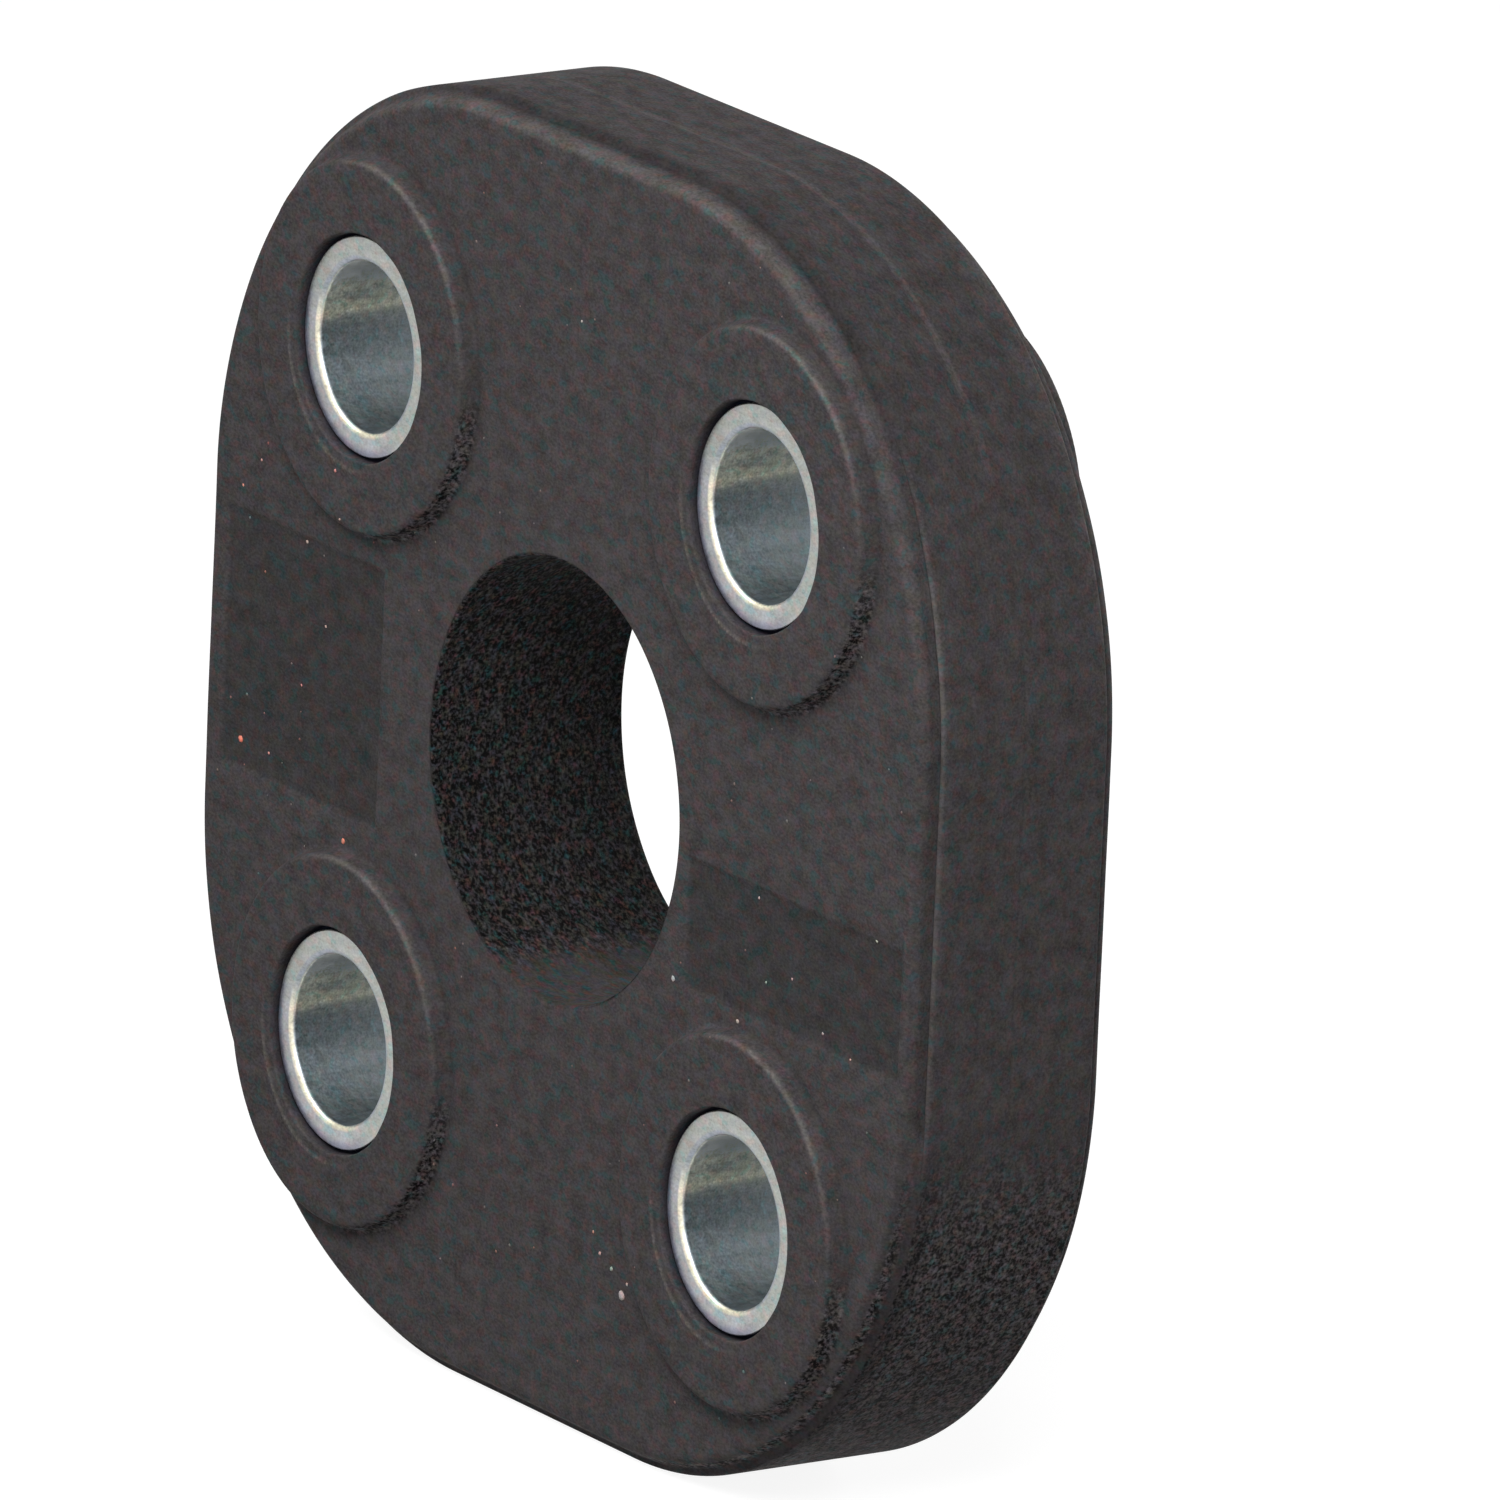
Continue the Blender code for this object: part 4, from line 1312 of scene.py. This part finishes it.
# Specks seen on the front face: place from the disc's centre, radius and how red each is
FACE_SPECKS = (
    (-0.0341, -0.0060, 0.00021, 1.0),
    (-0.0310, -0.0061, 0.00010, 0.8),
    (-0.0223, -0.0093, 0.00018, 1.0),
    (-0.0277, 0.0077, 0.00012, 0.1),
    (-0.0253, 0.0031, 0.00009, 0.3),
    (-0.0328, 0.0115, 0.00009, 0.5),
    (-0.0347, 0.0095, 0.00010, 0.8),
    (-0.0224, 0.0105, 0.00008, 0.3),
    (-0.0231, 0.0133, 0.00011, 0.8),
    (-0.0277, -0.0011, 0.00008, 0.5),
    (0.0010, 0.0280, 0.00009, 0.1),
    (0.0135, -0.0085, 0.00018, 0.0),
    (0.0219, -0.0015, 0.00009, 0.2),
    (0.0343, -0.0009, 0.00012, 0.0),
    (0.0204, -0.0093, 0.00014, 0.0),
    (0.0230, -0.0063, 0.00009, 0.2),
    (0.0257, -0.0054, 0.00009, 0.3),
    (0.0291, -0.0078, 0.00009, 0.1),
    (0.0321, -0.0086, 0.00009, 0.2),
    (0.0095, -0.0288, 0.00030, 0.0),
    (0.0070, -0.0269, 0.00012, 0.4),
    (0.0083, -0.0275, 0.00014, 0.1),
    (0.0100, -0.0280, 0.00011, 0.1),
    (0.0062, -0.0258, 0.00009, 0.6),
)


# Hardly visible specks all over the face: how many, their seed, their smallest and largest radius,
# how faint they are, and how far they keep from the mouths, the hole and the wall
FINE_SPECKS = 80
FINE_SEED = 11
FINE_RADII = (0.00005, 0.00010)
FINE_FAINT = 0.72
CLEAR_OF_HOLES = 0.0005
CLEAR_OF_WALL = 0.0015

# Seed for how the specks are turned, and their height as a share of their width
TURN_SEED = 4
FLATNESS = 0.5


def fine_specks(form):
    """Places, radii and tints of the hardly visible specks, from a fixed seed."""
    chance = np.random.default_rng(FINE_SEED)
    specks = []
    while len(specks) < FINE_SPECKS:
        x, z = chance.uniform(-form.half_width, form.half_width, 2)
        clear = [np.hypot(x - a, z - b) > form.mouth + CLEAR_OF_HOLES for a, b in form.sleeves]
        is_off_hole = np.hypot(x, z) > form.hole + CLEAR_OF_HOLES
        if all(clear) and is_off_hole and form.inset(x, z) > CLEAR_OF_WALL:
            specks.append((x, z, chance.uniform(*FINE_RADII), chance.uniform(0.0, 1.0) ** 2, FINE_FAINT))
    return specks


class COUPLING_OT_dust(bpy.types.Operator):
    """Scatter the specks of dust"""

    bl_idname = "coupling.dust"
    bl_label = "Dust"

    def execute(self, context):
        form = DiscForm(context.scene.coupling_disc)
        finish = make_dust(context.scene.coupling_finishes, shared_grain())
        specks = [(*speck, 0.0) for speck in FACE_SPECKS] + fine_specks(form)
        places = np.array([speck[:2] for speck in specks])
        height = form.face_height(places[:, 0], places[:, 1], True)
        base = bpy.data.meshes.new("speck_places")
        points = [
            (DISC_CENTRE.x + x, -form.half_face - rise, DISC_CENTRE.z + z)
            for (x, z), rise in zip(places, height)
        ]
        base.from_pydata(points, [], [])
        for label, column in (("size", 2), ("tint", 3), ("faint", 4)):
            attribute = base.attributes.new(label, "FLOAT", "POINT")
            attribute.data.foreach_set("value", [speck[column] for speck in specks])
        values = {"Seed": TURN_SEED, "Flatness": FLATNESS, "Finish": finish}
        mesh = run_geometry(speck_tree(), base, values)
        add_piece("dust_specks", mesh, "rubber")
        return {"FINISHED"}


# Camera fitted to the photograph, and the lamps' and the floor's sizes
CAMERA_PLACE = Vector((1.29864, -0.86396, 0.46492))
CAMERA_FORWARD = Vector((-0.8013, 0.5374, -0.2627))
CAMERA_UP = Vector((-0.2420, 0.1104, 0.9640))
CLIP_START = 0.05
CLIP_END = 50.0
LAMP_DISTANCE = 0.42
LAMP_SIZE = 0.22
FLOOR_HALF = 6.0
FLOOR_GLOW = 0.90

# Soft lamps: name, direction from the disc and share of the power
LAMPS = (
    ("lamp_above_camera", Vector((0.60, -0.47, 0.63)), 0.46),
    ("lamp_above_left", Vector((-0.40, -0.54, 0.74)), 0.22),
    ("lamp_front", Vector((0.20, -0.95, 0.20)), 0.07),
    ("lamp_behind", Vector((0.05, 0.97, 0.24)), 0.25),
)


def seen_directly(nodes):
    """1 for what the camera, a reflection or glass sees, 0 for light that bounces."""
    path = nodes.add("ShaderNodeLightPath")
    direct = nodes.math("MAXIMUM", path.outputs["Is Camera Ray"], path.outputs["Is Glossy Ray"])
    return nodes.math("MAXIMUM", direct, path.outputs["Is Transmission Ray"])


def make_floor(settings):
    """A pale floor that looks white and keeps the object's shadow."""
    material = bpy.data.materials.new("pale_floor")
    material.use_nodes = True
    nodes = Nodes(material.node_tree)
    material.node_tree.nodes.remove(material.node_tree.nodes["Principled BSDF"])
    output = material.node_tree.nodes["Material Output"]
    plain = nodes.add("ShaderNodeBsdfDiffuse", Color=tuple(settings.floor))
    glow = nodes.add("ShaderNodeEmission", Color=(1.0, 1.0, 1.0, 1.0), Strength=FLOOR_GLOW)
    both = nodes.add("ShaderNodeAddShader")
    nodes.fill(both.inputs[0], plain.outputs[0])
    nodes.fill(both.inputs[1], glow.outputs[0])
    choice = nodes.add("ShaderNodeMixShader", Fac=seen_directly(nodes))
    nodes.fill(choice.inputs[1], plain.outputs[0])
    nodes.fill(choice.inputs[2], both.outputs[0])
    nodes.fill(output.inputs["Surface"], choice.outputs[0])
    return material


def make_world(settings):
    """Even soft light from all round, white where it is seen directly."""
    world = bpy.data.worlds.new("studio")
    world.use_nodes = True
    bpy.context.scene.world = world
    nodes = Nodes(world.node_tree)
    background = world.node_tree.nodes["Background"]
    background.inputs["Color"].default_value = (1.0, 1.0, 1.0, 1.0)
    share = seen_directly(nodes)
    gain = nodes.math("MULTIPLY", share, 1.0 - settings.sky)
    nodes.fill(background.inputs["Strength"], nodes.math("ADD", gain, settings.sky))


def add_lamp(name, direction, power):
    """A square soft lamp that looks at the disc from that direction."""
    light = bpy.data.lights.new(name, "AREA")
    light.size = LAMP_SIZE
    light.energy = power
    lamp = bpy.data.objects.new(name, light)
    lamp.location = DISC_CENTRE + direction * LAMP_DISTANCE
    lamp.rotation_mode = "QUATERNION"
    lamp.rotation_quaternion = (-direction).to_track_quat("-Z", "Y")
    bpy.context.scene.collection.objects.link(lamp)


class COUPLING_OT_stage(bpy.types.Operator):
    """Lay the floor and set the light and the camera"""

    bl_idname = "coupling.stage"
    bl_label = "Stage"

    def execute(self, context):
        settings = context.scene.coupling_stage
        shape = bmesh.new()
        bmesh.ops.create_grid(shape, x_segments=1, y_segments=1, size=FLOOR_HALF)
        mesh = bpy.data.meshes.new("floor")
        shape.to_mesh(mesh)
        shape.free()
        mesh.materials.append(make_floor(settings))
        floor = bpy.data.objects.new("floor", mesh)
        context.scene.collection.objects.link(floor)
        make_world(settings)
        for name, direction, share in LAMPS:
            add_lamp(name, direction.normalized(), share * settings.lamp_power)
        data = bpy.data.cameras.new("camera")
        data.lens = settings.lens
        data.clip_start = CLIP_START
        data.clip_end = CLIP_END
        camera = bpy.data.objects.new("camera", data)
        right = CAMERA_FORWARD.cross(CAMERA_UP).normalized()
        up = right.cross(CAMERA_FORWARD).normalized()
        back = -CAMERA_FORWARD.normalized()
        turn = Matrix((right, up, back)).transposed().to_4x4()
        camera.matrix_world = Matrix.Translation(CAMERA_PLACE) @ turn
        context.scene.collection.objects.link(camera)
        context.scene.camera = camera
        context.scene.view_settings.view_transform = "Standard"
        return {"FINISHED"}


class COUPLING_PT_panel(bpy.types.Panel):
    """The coupling's sizes, finishes and build buttons"""

    bl_idname = "COUPLING_PT_panel"
    bl_label = "Steering Coupling"
    bl_space_type = "VIEW_3D"
    bl_region_type = "UI"
    bl_category = "Coupling"

    def draw(self, context):
        layout = self.layout
        for group in (
            context.scene.coupling_disc,
            context.scene.coupling_sleeves,
            context.scene.coupling_finishes,
            context.scene.coupling_stage,
        ):
            box = layout.box()
            for name in group.bl_rna.properties.keys():
                if name not in ("rna_type", "name"):
                    box.prop(group, name)
        for operator in OPERATORS:
            layout.operator(operator.bl_idname)


OPERATORS = (COUPLING_OT_disc, COUPLING_OT_sleeves, COUPLING_OT_dust, COUPLING_OT_stage)
CLASSES = (DiscSizes, SleeveSizes, Finishes, StageSettings, *OPERATORS, COUPLING_PT_panel)


def register():
    for kind in CLASSES:
        bpy.utils.register_class(kind)
    bpy.types.Scene.coupling_disc = PointerProperty(type=DiscSizes)
    bpy.types.Scene.coupling_sleeves = PointerProperty(type=SleeveSizes)
    bpy.types.Scene.coupling_finishes = PointerProperty(type=Finishes)
    bpy.types.Scene.coupling_stage = PointerProperty(type=StageSettings)


def unregister():
    for name in ("coupling_stage", "coupling_finishes", "coupling_sleeves", "coupling_disc"):
        delattr(bpy.types.Scene, name)
    for kind in reversed(CLASSES):
        bpy.utils.unregister_class(kind)


def main():
    register()
    bpy.ops.coupling.stage()
    bpy.ops.coupling.disc()
    bpy.ops.coupling.sleeves()
    bpy.ops.coupling.dust()


if __name__ == "__main__":
    main()
